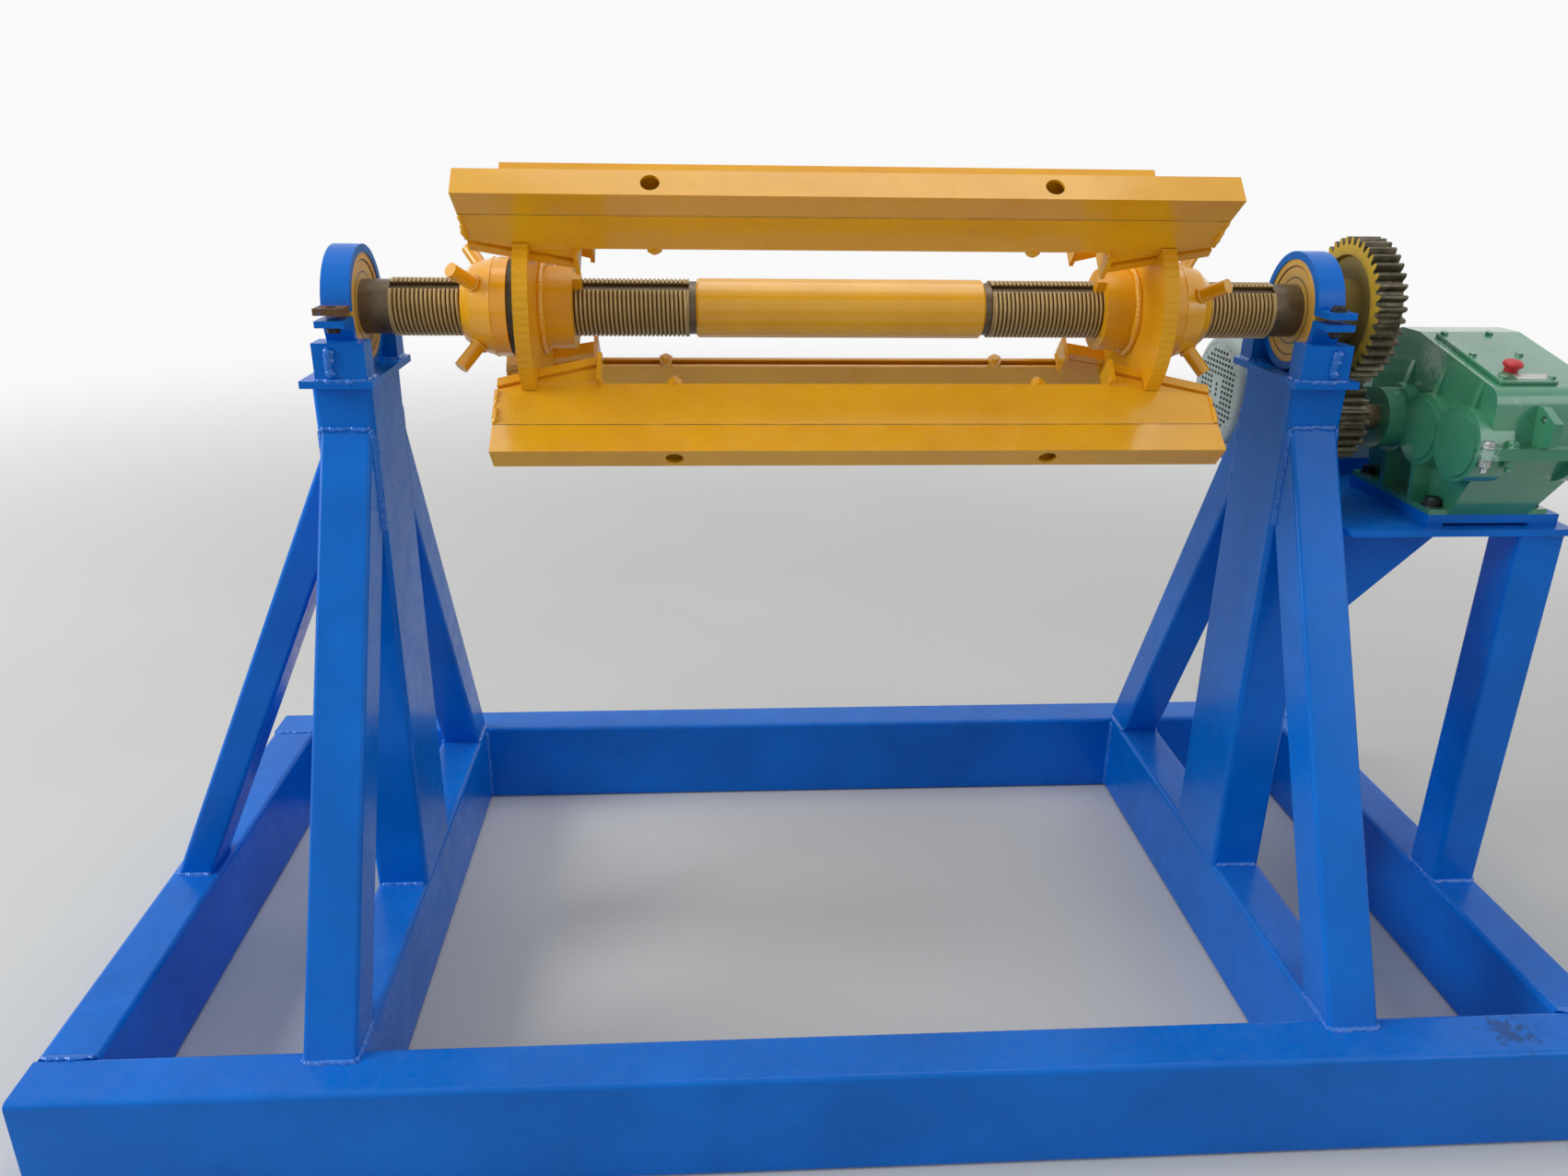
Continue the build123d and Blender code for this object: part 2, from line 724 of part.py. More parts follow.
with BuildPart() as gusset:
    with BuildSketch(Plane.XZ.offset(gusset_offset)):
        with BuildLine():
            Polyline((column_outer, plate_bottom), (column_outer + gusset_reach, plate_bottom),
                     (column_outer, plate_bottom - gusset_reach), close=True)
        make_face()
    extrude(amount=gusset_thickness)
save(gusset, "platform_gusset", blue)

# Gearbox: ribbed cast case in two halves, split through its three shafts
case_right = case_left + case_width
case_middle = case_left + case_width / 2
shafts = {"output": 0, "middle": -middle_shaft_distance, "input": -input_shaft_distance}
case_centre = (case_middle, (case_rear - case_front) / 2)
foot_centre = (case_middle, (case_rear_foot - case_front_foot) / 2)
foot_depth = case_front_foot + case_rear_foot
flange_plan = (case_width + 2 * flange_overhang, case_front + case_rear + 2 * flange_overhang)
seat_left = case_left - seat_reach
seat_right = case_right + seat_reach


def draw_seats():
    """Round bearing seats that stand out of both sides of the current half of the case."""
    for start, direction in ((seat_left, 1), (seat_right, -1)):
        for place in shafts.values():
            seat = Plane(origin=(start, place, split_height), x_dir=(0, 1, 0), z_dir=(direction, 0, 0))
            with Locations(seat):
                Cylinder(seat_diameter / 2, seat_reach + seat_root,
                         align=(Align.CENTER, Align.CENTER, Align.MIN))


rails_left = case_left - mount_rail_overhang["left"]
rails_right = case_right + mount_rail_overhang["right"]
with BuildPart() as gearbox_rails:
    with BuildSketch(Plane.XY.offset(platform_top)):
        with Locations(((rails_left + rails_right) / 2, foot_centre[1])):
            Rectangle(rails_right - rails_left, foot_depth)
    extrude(amount=mount_rail_height)
    with BuildSketch(Plane.XY.offset(platform_top)):
        with Locations((case_middle, -case_front_foot + mount_rail_width / 2)):
            Rectangle(case_width - 2 * foot_overhang, mount_rail_width)
    extrude(amount=mount_rail_relief, mode=Mode.SUBTRACT)
save(gearbox_rails, "gearbox_rails", blue)

with BuildPart() as gearbox_lower:
    with BuildSketch(Plane.XY.offset(rail_top)):
        with Locations(foot_centre):
            Rectangle(case_foot_width, foot_depth)
    with BuildSketch(Plane.XY.offset(split_height)):
        with Locations(case_centre):
            Rectangle(case_width, case_front + case_rear)
    loft()
    with BuildSketch(Plane.XY.offset(rail_top)):
        with Locations(foot_centre):
            Rectangle(case_width + 2 * foot_overhang, foot_depth)
    extrude(amount=foot_thickness)
    with BuildSketch(Plane.XY.offset(split_height)):
        with Locations(case_centre):
            RectangleRounded(*flange_plan, flange_overhang)
    extrude(amount=-flange_thickness)
    draw_seats()
    for place in (shafts["output"], shafts["middle"]):
        with BuildSketch(Plane.XZ.offset(-place - rib_thickness / 2)):
            with BuildLine():
                Polyline((case_left - foot_overhang, rail_top), (seat_left, split_height - flange_thickness),
                         (seat_right, split_height - flange_thickness),
                         (case_right + foot_overhang, rail_top), close=True)
            make_face()
        extrude(amount=rib_thickness)
    split(bisect_by=Plane.XY.offset(split_height), keep=Keep.BOTTOM)
save(gearbox_lower, "gearbox_lower", green)

slope_low = split_height + case_slope_height
ridge = split_height + case_ridge_height
with BuildPart() as gearbox_upper:
    with BuildSketch(Plane.YZ.offset(case_left)) as profile:
        with BuildLine():
            Polyline((case_rear, split_height), (-case_front, split_height), (-case_slope_front, slope_low),
                     (0, ridge), (case_ridge_rear, ridge), (case_rear, slope_low), close=True)
        make_face()
        fillet(profile.vertices().filter_by(lambda v: v.X > 1 - case_slope_front and v.Y > split_height + 1),
               radius=case_corner)
        fillet(profile.vertices().filter_by(lambda v: v.X < 1 - case_slope_front and v.Y > split_height + 1),
               radius=case_nose)
    extrude(amount=case_width)
    with BuildSketch(Plane.XY.offset(split_height)):
        with Locations(case_centre):
            RectangleRounded(*flange_plan, flange_overhang)
    extrude(amount=flange_thickness)
    draw_seats()
    for place in shafts.values():
        rib_top = split_height + seat_diameter / 2 + rib_rise
        with BuildSketch(Plane.XZ.offset(-place - rib_thickness / 2)):
            with BuildLine():
                Polyline((seat_left, split_height), (case_left, rib_top), (case_right, rib_top),
                         (seat_right, split_height), close=True)
            make_face()
        extrude(amount=rib_thickness)
    split(bisect_by=Plane.XY.offset(split_height), keep=Keep.TOP)
save(gearbox_upper, "gearbox_upper", green)

# Round caps close the bearing seats; the output has a longer boss and the input a bored cap
with BuildPart() as caps:
    for place in (shafts["middle"], shafts["input"]):
        with BuildSketch(Plane.YZ.offset(seat_left)):
            with Locations((place, split_height)):
                Circle(end_cap_diameter / 2 if place == shafts["input"] else middle_cap_diameter / 2)
        extrude(amount=-end_cap_projection)
    with BuildSketch(Plane.YZ.offset(output_boss_face)):
        with Locations((shafts["output"], split_height)):
            Circle(output_boss_diameter / 2)
            Circle(output_shaft_diameter / 2 + running_clearance, mode=Mode.SUBTRACT)
    extrude(amount=seat_left - output_boss_face)
    for place in (shafts["output"], shafts["middle"]):
        with BuildSketch(Plane.YZ.offset(seat_right)):
            with Locations((place, split_height)):
                Circle(end_cap_diameter / 2 if place == shafts["output"] else middle_cap_diameter / 2)
        extrude(amount=end_cap_projection)
    with BuildSketch(Plane.YZ.offset(seat_right)):
        with Locations((shafts["input"], split_height)):
            Circle(end_cap_diameter / 2)
            Circle(input_shaft_diameter / 2 + running_clearance, mode=Mode.SUBTRACT)
    extrude(amount=end_cap_projection)
save(caps, "gearbox_end_caps", green)

with BuildPart() as input_shaft:
    with BuildSketch(Plane.YZ.offset(seat_right)):
        with Locations((shafts["input"], split_height)):
            Circle(input_shaft_diameter / 2)
    extrude(amount=input_shaft_reach)
    with BuildSketch(Plane.YZ.offset(seat_right + input_shaft_reach - input_key_length)):
        with Locations((shafts["input"], split_height + input_shaft_diameter / 2)):
            Rectangle(input_key_width, input_key_width)
    extrude(amount=input_key_length, mode=Mode.SUBTRACT)
save(input_shaft, "input_shaft", steel)

slope_run = Vector(0, case_slope_front, ridge - slope_low)
slope_normal = Vector(0, slope_low - ridge, case_slope_front).normalized()


def slope_point(x, y):
    """Point on the sloping top of the gearbox."""
    return Vector(x, y, ridge + slope_run.Z / slope_run.Y * y)


with BuildPart() as cover:
    middle = slope_point(case_left + cover_start + cover_width / 2, -(cover_front + cover_rear) / 2)
    with BuildSketch(Plane(origin=middle, x_dir=(1, 0, 0), z_dir=slope_normal)):
        RectangleRounded(cover_width, (cover_front - cover_rear) / slope_normal.Z, cover_corner)
    extrude(amount=cover_thickness)
    chamfer(cover.faces().sort_by(Axis.Z)[-1].edges(), length=cover_chamfer)
save(cover, "inspection_cover", green)

with BuildPart() as breather:
    base = slope_point(case_left + breather_start, -breather_front) + slope_normal * cover_thickness
    with BuildSketch(Plane(origin=base, x_dir=(1, 0, 0), z_dir=slope_normal)):
        Circle(breather_neck / 2)
    extrude(amount=breather_height / 2)
    cap_base = base + slope_normal * breather_height / 2
    with BuildSketch(Plane(origin=cap_base, x_dir=(1, 0, 0), z_dir=slope_normal)):
        Circle(breather_diameter / 2)
    extrude(amount=breather_height / 2)
    chamfer(breather.edges().filter_by(GeomType.CIRCLE).sort_by(Axis.Z)[-1], length=breather_chamfer)
save(breather, "breather", red)

with BuildPart() as lug:
    low = split_height + flange_thickness
    lean = (case_front - case_slope_front) / case_slope_height
    wall = -case_front + lean * flange_thickness
    wall_top = wall + lean * lug_height
    with BuildSketch(Plane.YZ.offset(case_left + lug_start)):
        with BuildLine():
            Polyline((wall, low), (wall_top, low + lug_height), (wall_top - lug_top_reach, low + lug_height),
                     (wall - lug_reach, low + lug_nose_height), (wall - lug_reach, low + flange_thickness),
                     (wall - flange_overhang, low), close=True)
        make_face()
        with Locations((wall - lug_hole_reach, low + lug_hole_height)):
            Circle(lug_hole / 2, mode=Mode.SUBTRACT)
    extrude(amount=lug_thickness)
save(lug, "lifting_lug", green)

# Motor on a folded tray behind the gearbox, with its fan cowl towards the left
with BuildPart() as tray:
    with BuildSketch(Plane.YZ.offset(motor_tray_start)):
        with Locations((motor_rear, (platform_top + tray_top) / 2)):
            Rectangle(motor_tray_depth, tray_top - platform_top)
        with Locations((motor_rear, (platform_top + tray_top - motor_tray_wall) / 2)):
            Rectangle(motor_tray_depth - 2 * motor_tray_wall, tray_top - motor_tray_wall - platform_top,
                      mode=Mode.SUBTRACT)
    extrude(amount=motor_tray_length)
save(tray, "motor_tray", blue)

cowl_end = motor_cowl_start + motor_cowl_length
motor_plane = Plane(origin=(cowl_end, motor_rear, motor_axis_height), x_dir=(0, 1, 0), z_dir=(1, 0, 0))
with BuildPart() as motor:
    with BuildSketch(motor_plane):
        Circle(motor_body_radius)
    extrude(amount=motor_body_length)
    with BuildSketch(motor_plane.offset(-motor_spigot)):
        Circle(motor_cowl_radius - motor_cowl_wall - seat_clearance)
    extrude(amount=motor_spigot + motor_fin_margin / 2)
    with BuildSketch(motor_plane.offset(motor_fin_margin)):
        with PolarLocations(motor_body_radius + (motor_fin_height - motor_fin_root) / 2, motor_fin_count):
            Rectangle(motor_fin_height + motor_fin_root, motor_fin_thickness)
    extrude(amount=motor_body_length - 2 * motor_fin_margin)
    with BuildSketch(motor_plane.offset(motor_body_length)):
        Circle(motor_body_radius + motor_fin_height)
    with BuildSketch(motor_plane.offset(motor_body_length + motor_shield_length)):
        Circle(motor_body_radius / 2)
    loft()
    foot_place = cowl_end + (motor_body_length - motor_foot_length) / 2
    foot_half = motor_foot_width / 2
    with BuildSketch(Plane.YZ.offset(foot_place)):
        with BuildLine():
            Polyline((motor_rear - foot_half, tray_top), (motor_rear + foot_half, tray_top),
                     (motor_rear + foot_half, tray_top + motor_foot_thickness),
                     (motor_rear + motor_saddle_half, motor_axis_height),
                     (motor_rear - motor_saddle_half, motor_axis_height),
                     (motor_rear - foot_half, tray_top + motor_foot_thickness), close=True)
        make_face()
    extrude(amount=motor_foot_length)
save(motor, "motor_body", grey)

with BuildPart() as cowl:
    with BuildSketch(motor_plane.offset(-motor_cowl_length)):
        Circle(motor_cowl_radius)
    extrude(amount=motor_cowl_length)
    chamfer(cowl.edges().filter_by(GeomType.CIRCLE).sort_by(Axis.X)[0], length=motor_cowl_edge)
    offset(amount=-motor_cowl_wall, openings=cowl.faces().sort_by(Axis.X)[-1])
save(cowl, "motor_fan_cowl", grey)

terminal_box_base = motor_axis_height + motor_body_radius + motor_fin_height + seat_clearance
with BuildPart() as terminal_box:
    with BuildSketch(Plane.XY.offset(terminal_box_base)):
        with Locations((foot_place + motor_foot_length / 2, motor_rear)):
            Rectangle(terminal_box_size, terminal_box_size)
    extrude(amount=terminal_box_height)
    chamfer(terminal_box.edges().filter_by(Axis.Z), length=terminal_box_corner)
    chamfer(terminal_box.faces().sort_by(Axis.Z)[-1].edges(), length=terminal_box_corner / 2)
save(terminal_box, "terminal_box", grey)

with BuildPart() as motor_shaft:
    with BuildSketch(motor_plane.offset(motor_body_length + motor_shield_length)):
        Circle(motor_shaft_diameter / 2)
    extrude(amount=motor_shaft_length)
save(motor_shaft, "motor_shaft", steel)
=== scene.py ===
"""Dresses the powered decoiler: painted steel, oiled threads, weld beads, bolts and the studio.

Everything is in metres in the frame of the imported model. X runs along the mandrel, Y to the rear, Z up.
"""
import json
from math import atan2, cos, pi, radians, sin, tan

import bmesh
import bpy
import numpy as np
from bpy.props import FloatProperty, FloatVectorProperty, IntProperty, PointerProperty, StringProperty
from mathutils import Matrix, Vector


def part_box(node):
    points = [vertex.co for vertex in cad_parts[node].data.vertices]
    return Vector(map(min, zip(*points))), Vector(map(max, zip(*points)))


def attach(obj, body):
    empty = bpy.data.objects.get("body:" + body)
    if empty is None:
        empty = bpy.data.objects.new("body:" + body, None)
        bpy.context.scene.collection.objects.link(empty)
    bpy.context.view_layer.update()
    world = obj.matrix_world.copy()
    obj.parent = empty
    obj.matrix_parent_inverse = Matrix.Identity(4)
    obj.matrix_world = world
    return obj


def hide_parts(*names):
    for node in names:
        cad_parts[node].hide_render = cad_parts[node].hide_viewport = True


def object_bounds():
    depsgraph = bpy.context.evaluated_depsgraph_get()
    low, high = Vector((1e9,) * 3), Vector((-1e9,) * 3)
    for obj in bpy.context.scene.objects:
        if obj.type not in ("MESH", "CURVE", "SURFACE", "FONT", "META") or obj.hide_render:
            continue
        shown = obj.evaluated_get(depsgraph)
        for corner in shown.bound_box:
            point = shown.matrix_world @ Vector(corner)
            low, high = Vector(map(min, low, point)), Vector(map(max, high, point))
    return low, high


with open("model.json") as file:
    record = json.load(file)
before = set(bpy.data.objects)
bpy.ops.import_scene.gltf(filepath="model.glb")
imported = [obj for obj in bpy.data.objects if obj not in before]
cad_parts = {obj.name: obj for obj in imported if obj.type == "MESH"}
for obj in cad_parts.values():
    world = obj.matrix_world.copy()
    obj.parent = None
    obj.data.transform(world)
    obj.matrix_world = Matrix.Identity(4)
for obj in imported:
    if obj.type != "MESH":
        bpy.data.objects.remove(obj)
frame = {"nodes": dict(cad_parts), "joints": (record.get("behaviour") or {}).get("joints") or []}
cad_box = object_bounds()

bl_info = {
    "name": "Decoiler dressing",
    "version": (1, 0, 0),
    "blender": (4, 5, 0),
    "location": "3D view > Sidebar > Decoiler",
    "description": "Finishes a packed decoiler with paint, threads, welds, bolts and a studio",
    "category": "Object",
}

MM = 0.001
SPIN, PINION = (Vector(next(j["pos_m"] for j in frame["joints"] if j["name"] == name))
                for name in ("spindle_turn", "pinion_turn"))
PETALS = {"top_rear": 45, "top_front": 135, "bottom_front": 225, "bottom_rear": 315}
SIDES = {"left": -1, "right": 1}
ALONG, UP = (1, 0, 0), (0, 0, 1)
BLUE_PATCHES, YELLOW_PATCHES = ("0066C6", "0A4E9A"), ("E8A412", "B07E22")

MATH, RAMP, NOISE, MIX, BUMP, VECTOR, SPLIT, MAPPING, SPREAD, SHADER, OUTPUT = (
    "ShaderNode" + kind for kind in (
        "Math", "ValToRGB", "TexNoise", "MixRGB", "Bump", "VectorMath", "SeparateXYZ", "Mapping", "MapRange",
        "BsdfPrincipled", "OutputMaterial"))


def length(name, description, default):
    """Setting for a length, in metres."""
    return FloatProperty(name=name, description=description, default=default, min=0.1 * MM, unit="LENGTH")


def rotation(name, description, default):
    """Setting for an angle, in radians."""
    return FloatProperty(name=name, description=description, default=default, unit="ROTATION")


class PaintSettings(bpy.types.PropertyGroup):
    """Colours as sRGB hex codes, and sizes of the finishes' patterns."""

    blue: StringProperty(name="Frame blue", description="Enamel of the welded frame", default="0072DA")
    yellow: StringProperty(name="Mandrel yellow", description="Enamel of the mandrel", default="F6B516")
    green: StringProperty(name="Gearbox green", description="Enamel of the gearbox", default="44936F")
    grey: StringProperty(name="Motor grey", description="Enamel of the motor", default="BECFCD")
    peel: length("Peel size", "Size of the waves in the enamel", 3.5 * MM)
    patch: length("Patch size", "Size of the uneven patches in a coat", 0.16)


class ThreadSettings(bpy.types.PropertyGroup):
    """Sizes of the spindle, which the solids hold too."""

    pitch: length("Pitch", "Distance between two threads", 6 * MM)
    depth: length("Depth", "Depth of the thread", 3.3 * MM)
    radius: length("Radius", "Radius over the thread", 40 * MM)
    journal: length("Journal", "Radius in the bearings", 37.5 * MM)
    relief: length("Relief", "Radius of the groove inside each thread", 36.5 * MM)
    core: length("Core end", "Inner end of each relief from the middle", 204 * MM)
    inner: length("Inner end", "Inner end of a thread from the middle", 214 * MM)
    outer: length("Outer end", "Outer end of a thread from the middle", 624 * MM)
    seat: length("Gear seat", "Radius under the gear", 30 * MM)
    seat_start: length("Gear seat start", "Shoulder before the gear", 706 * MM)
    keyway: length("Keyway width", "Width of the keyway", 14 * MM)
    keyway_floor: length("Keyway floor", "Distance of the keyway's floor from the axis", 34 * MM)
    keyway_angle: rotation("Keyway angle", "Angle of the keyway, from the rear upward", radians(125))


class MandrelSettings(bpy.types.PropertyGroup):
    """Sizes of the petals, carriers and nuts, which the solids hold too. Places count from the middle."""

    half: length("Petal half", "Half the length of a petal", 494 * MM)
    fold: length("Fold radius", "Distance of a petal's fold from the axis", 200 * MM)
    fold_half: length("Fold half width", "Half the width at the fold", 11.5 * MM)
    inner: length("Inner radius", "Distance of a petal's inner edge from the axis", 133 * MM)
    inner_half: length("Inner half width", "Half the width of the inner edge", 8 * MM)
    rail: length("Rail radius", "Distance of a rail's back from the axis at the carrier", 131.4 * MM)
    plate: length("Carrier place", "Place of a carrier's plate", 429 * MM)
    wedge: rotation("Wedge angle", "Slope of the rails", radians(15))
    stop: length("Stop place", "Place of a stop plate", 352 * MM)
    hole: length("Hole place", "Place of a round hole in a petal", 252.5 * MM)
    sleeve: length("Sleeve radius", "Radius of a carrier's sleeve", 57 * MM)
    collar: length("Nut line", "Place of the line round a nut", 483 * MM)
    collar_radius: length("Nut line radius", "Radius of the line round a nut", 67 * MM)
    handle: length("Handle place", "Place where a handle starts", 500 * MM)
    handle_radius: length("Handle root", "Where a handle starts, from the axis", 51 * MM)
    handle_tilt: rotation("Handle tilt", "Lean of the handles", radians(33))
    handle_left: rotation("Left handles", "Angle of the first left handle", radians(52))
    handle_right: rotation("Right handles", "Angle of the first right handle", radians(62))


class WeldSettings(bpy.types.PropertyGroup):
    """Sizes of the weld beads."""

    width: length("Frame bead", "Half width of a bead on the frame", 6 * MM)
    mandrel: length("Mandrel bead", "Half width of a bead on the mandrel", 4 * MM)
    ripple: length("Ripple", "Distance between two ripples", 5 * MM)
    seed: IntProperty(name="Seed", description="Start of the uneven run of the beads", default=7, min=0)


class FastenerSettings(bpy.types.PropertyGroup):
    """Sizes of the bolts, as the width across the flats of their heads."""

    housing: length("Housing bolts", "Bolts through the bearing ears", 16 * MM)
    flange: length("Flange bolts", "Bolts round the gearbox joint", 13 * MM)
    foot: length("Foot bolts", "Bolts in the gearbox feet", 19 * MM)
    petal: length("Petal nuts", "Nuts at the petals' inner edges", 19 * MM)
    small: length("Cover screws", "Screws of the inspection cover", 10 * MM)


class StageSettings(bpy.types.PropertyGroup):
    """Floor, light and camera."""

    floor: StringProperty(name="Floor", description="Colour of the floor", default="CFCFCB")
    backdrop: FloatProperty(name="Backdrop", description="How white the background shows", default=0.95,
                            min=0, max=1)
    ambient: FloatProperty(name="Ambient", description="Light from all sides", default=0.36, min=0)
    key: FloatProperty(name="Key light", description="Power of the lamp at the left", default=215, min=0)
    fill: FloatProperty(name="Fill light", description="Power of the lamp at the right", default=30, min=0)
    top: FloatProperty(name="Top light", description="Power of the lamp overhead", default=66, min=0)
    eye: FloatVectorProperty(name="Eye", description="Place of the camera", default=(-0.181, -1.692, 1.293),
                             subtype="XYZ", unit="LENGTH")
    yaw: rotation("Yaw", "Turn of the camera to the right", 0.0632)
    pitch: rotation("Pitch", "Tilt of the camera downward", 0.3703)
    roll: rotation("Roll", "Roll of the camera", 0.0136)
    focal: FloatProperty(name="Focal length", description="Focal length in pixels of the picture",
                         default=1265.4, min=1)
    picture_width: IntProperty(name="Picture width", description="Width of the picture in pixels",
                               default=1702, min=1)


class DecoilerSettings(bpy.types.PropertyGroup):
    """All settings of the dressing."""

    paint: PointerProperty(type=PaintSettings)
    thread: PointerProperty(type=ThreadSettings)
    mandrel: PointerProperty(type=MandrelSettings)
    weld: PointerProperty(type=WeldSettings)
    fastener: PointerProperty(type=FastenerSettings)
    stage: PointerProperty(type=StageSettings)


def settings():
    """The settings kept in the scene."""
    return bpy.context.scene.decoiler


# Shapes worked out as arrays


def grid_faces(rows, columns, wrap=False):
    """Four-sided faces between neighbouring rows and columns of a grid of points."""
    i = np.arange(rows - 1)[:, None] * columns
    j = np.arange(columns if wrap else columns - 1)[None, :]
    k = (j + 1) % columns
    return np.stack([i + j, i + k, i + columns + k, i + columns + j], axis=-1).reshape(-1, 4)


def axes_of(direction):
    """The unit vector of a direction and two more, square to it and to each other."""
    along = np.asarray(direction, float)
    along = along / np.linalg.norm(along)
    helper = np.array([0.0, 0.0, 1.0]) if abs(along[2]) < 0.9 else np.array([1.0, 0.0, 0.0])
    first = np.cross(helper, along)
    first /= np.linalg.norm(first)
    return along, first, np.cross(along, first)


def turned(place, direction, profile, steps=32, outline=None):
    """A profile turned about an axis: point = place + a along the axis + r (cos t, sin t) across it.

    The profile is rows of (a, r). An outline gives a factor on r for each angle t, such as a hexagon.
    """
    along, first, second = axes_of(direction)
    profile = np.asarray(profile, float)
    angle = np.linspace(0, 2 * pi, steps, endpoint=False)
    factor = np.ones(steps) if outline is None else outline(angle)
    ring = np.cos(angle)[:, None] * first + np.sin(angle)[:, None] * second
    radius = profile[:, 1][:, None] * factor[None, :]
    points = np.asarray(place, float) + profile[:, 0][:, None, None] * along + radius[..., None] * ring
    return points.reshape(-1, 3), grid_faces(len(profile), steps, wrap=True)


def hexagon(angle):
    """Distance to the edge of a hexagon, for a distance across half the flats of one."""
    return 1 / np.cos((angle + pi / 6) % (pi / 3) - pi / 6)


def rounded_rectangle(half_down, half_across):
    """Distance to the edge of a rounded rectangle: (|cos t / a|^8 + |sin t / b|^8) raised to -1/8."""
    return lambda angle: (np.abs(np.cos(angle) / half_down) ** 8
                          + np.abs(np.sin(angle) / half_across) ** 8) ** -0.125


def joined(parts):
    """Several sets of points and faces as one set."""
    points, faces, count = [], [], 0
    for p, f in parts:
        points.append(p)
        faces.append(f + count)
        count += len(p)
    return np.concatenate(points), np.concatenate(faces)


def put_piece(name, parts, finish, body, replaces=(), sharp=35):
    """Makes one object from point and face sets, closes its seams and turns its faces outward.

    No point may pass the box of the solids, so a bead at an outer corner is flat where it meets that box.
    """
    points, faces = joined(parts)
    points = np.clip(points, *cad_box)
    mesh = bpy.data.meshes.new(name)
    mesh.from_pydata(points.tolist(), [], faces.tolist())
    bm = bmesh.new()
    bm.from_mesh(mesh)
    bmesh.ops.remove_doubles(bm, verts=bm.verts, dist=1e-6)
    bmesh.ops.dissolve_degenerate(bm, dist=1e-7, edges=bm.edges)
    bmesh.ops.recalc_face_normals(bm, faces=bm.faces)
    bm.to_mesh(mesh)
    bm.free()
    mesh.polygons.foreach_set("use_smooth", np.ones(len(mesh.polygons), bool))
    mesh.set_sharp_from_angle(angle=radians(sharp))
    mesh.materials.append(material(finish))
    piece = bpy.data.objects.new(name, mesh)
    bpy.context.scene.collection.objects.link(piece)
    if replaces:
        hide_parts(*replaces)
    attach(piece, body)


def hex_head(place, direction, flats, height):
    """Hexagonal head or nut: a prism whose top corners are cut by a cone."""
    half, bevel = flats / 2, height * 0.86
    base = turned(place, direction, [(0, 0), (0, half), (bevel, half)], 36, hexagon)
    cone = turned(place, direction, [(bevel, half), (height, half * 0.96), (height, 0)], 36,
                  lambda t: np.minimum(hexagon(t), 1.06))
    return joined([base, cone])


def round_disc(place, direction, radius, height, edge=0.4 * MM):
    """Flat round disc or washer with small bevels: a turned rectangle."""
    rows = [(0, 0), (0, radius), (height - edge, radius), (height, radius - edge), (height, 0)]
    return turned(place, direction, rows, 28)


def threaded_end(place, direction, radius, reach, pitch=1.75 * MM):
    """Bolt end with round grooves one pitch apart: r falls and rises as a cosine along it."""
    a = np.linspace(0, reach - radius * 0.2, int(4 * reach / pitch))
    r = radius * (1 - 0.05 * (1 - np.cos(2 * pi * a / pitch)))
    rows = np.concatenate([[(0, 0)], np.stack([a, r], 1), [(reach, radius * 0.75), (reach, 0)]])
    return turned(place, direction, rows, 16)


def bolt(place, direction, flats, grip=0.0, tail=0.0, head=0.55, nut=0.68):
    """Hexagon bolt with washer; with a grip it gets a washer, nut and threaded end on the far side.

    The heights of head and nut are shares of the width across the flats.
    """
    along, place = np.asarray(direction, float), np.asarray(place, float)
    washer, washer_radius = flats * 0.13, flats * 0.68
    parts = [round_disc(place, along, washer_radius, washer),
             hex_head(place + along * washer, along, flats, flats * head)]
    if grip:
        far = place - along * grip
        parts += [round_disc(far, -along, washer_radius, washer),
                  hex_head(far - along * washer, -along, flats, flats * nut),
                  threaded_end(far - along * (washer + flats * nut), -along, flats * 0.32, tail)]
    return joined(parts)


def weld_bead(path, facing, seed, width=1.0, ripple=1.0, rough=0.25, half=None):
    """Weld bead along a path. Width multiplies the set half width, or half, and ripple the set spacing.

    The path is walked in short steps s. At each step an oval of half width h(s) lies across it, its
    upper half towards facing. h swells as |cos(pi s / ripple)| and by three slow sines, and closes as
    a half circle at both ends.
    """
    w = settings().weld
    half, ripple = (w.width if half is None else half) * width, w.ripple * ripple
    path = np.asarray(path, float)
    runs = np.linalg.norm(np.diff(path, axis=0), axis=1)
    reach = np.concatenate([[0], np.cumsum(runs)])
    count = max(int(reach[-1] / (ripple * 0.3)), 8)
    s = np.linspace(0, reach[-1], count)
    centre = np.stack([np.interp(s, reach, path[:, k]) for k in range(3)], 1)
    tangent = np.gradient(centre, axis=0)
    tangent /= np.linalg.norm(tangent, axis=1)[:, None]
    side = np.cross(tangent, np.broadcast_to(np.asarray(facing, float), centre.shape))
    side /= np.linalg.norm(side, axis=1)[:, None] + 1e-12
    up = np.cross(side, tangent)
    phase = np.random.default_rng(w.seed + seed).uniform(0, 2 * pi, 3)
    slow = sum(np.sin(s * f + p) for f, p in zip((90, 210, 430), phase)) / 3
    swell = 0.8 + 0.2 * np.abs(np.cos(pi * s / ripple)) + rough * slow
    ends = np.minimum(s, reach[-1] - s) / half
    size = half * swell * np.sqrt(np.clip(1 - np.clip(1 - ends, 0, 1) ** 2, 0, 1))
    centre = centre + side * (slow * half * rough)[:, None]
    angle = np.linspace(0, 2 * pi, 8, endpoint=False)
    ring = (np.cos(angle)[None, :, None] * side[:, None, :]
            + 0.72 * np.sin(angle)[None, :, None] * up[:, None, :])
    points = centre[:, None, :] + size[:, None, None] * ring
    return points.reshape(-1, 3), grid_faces(count, 8, wrap=True)


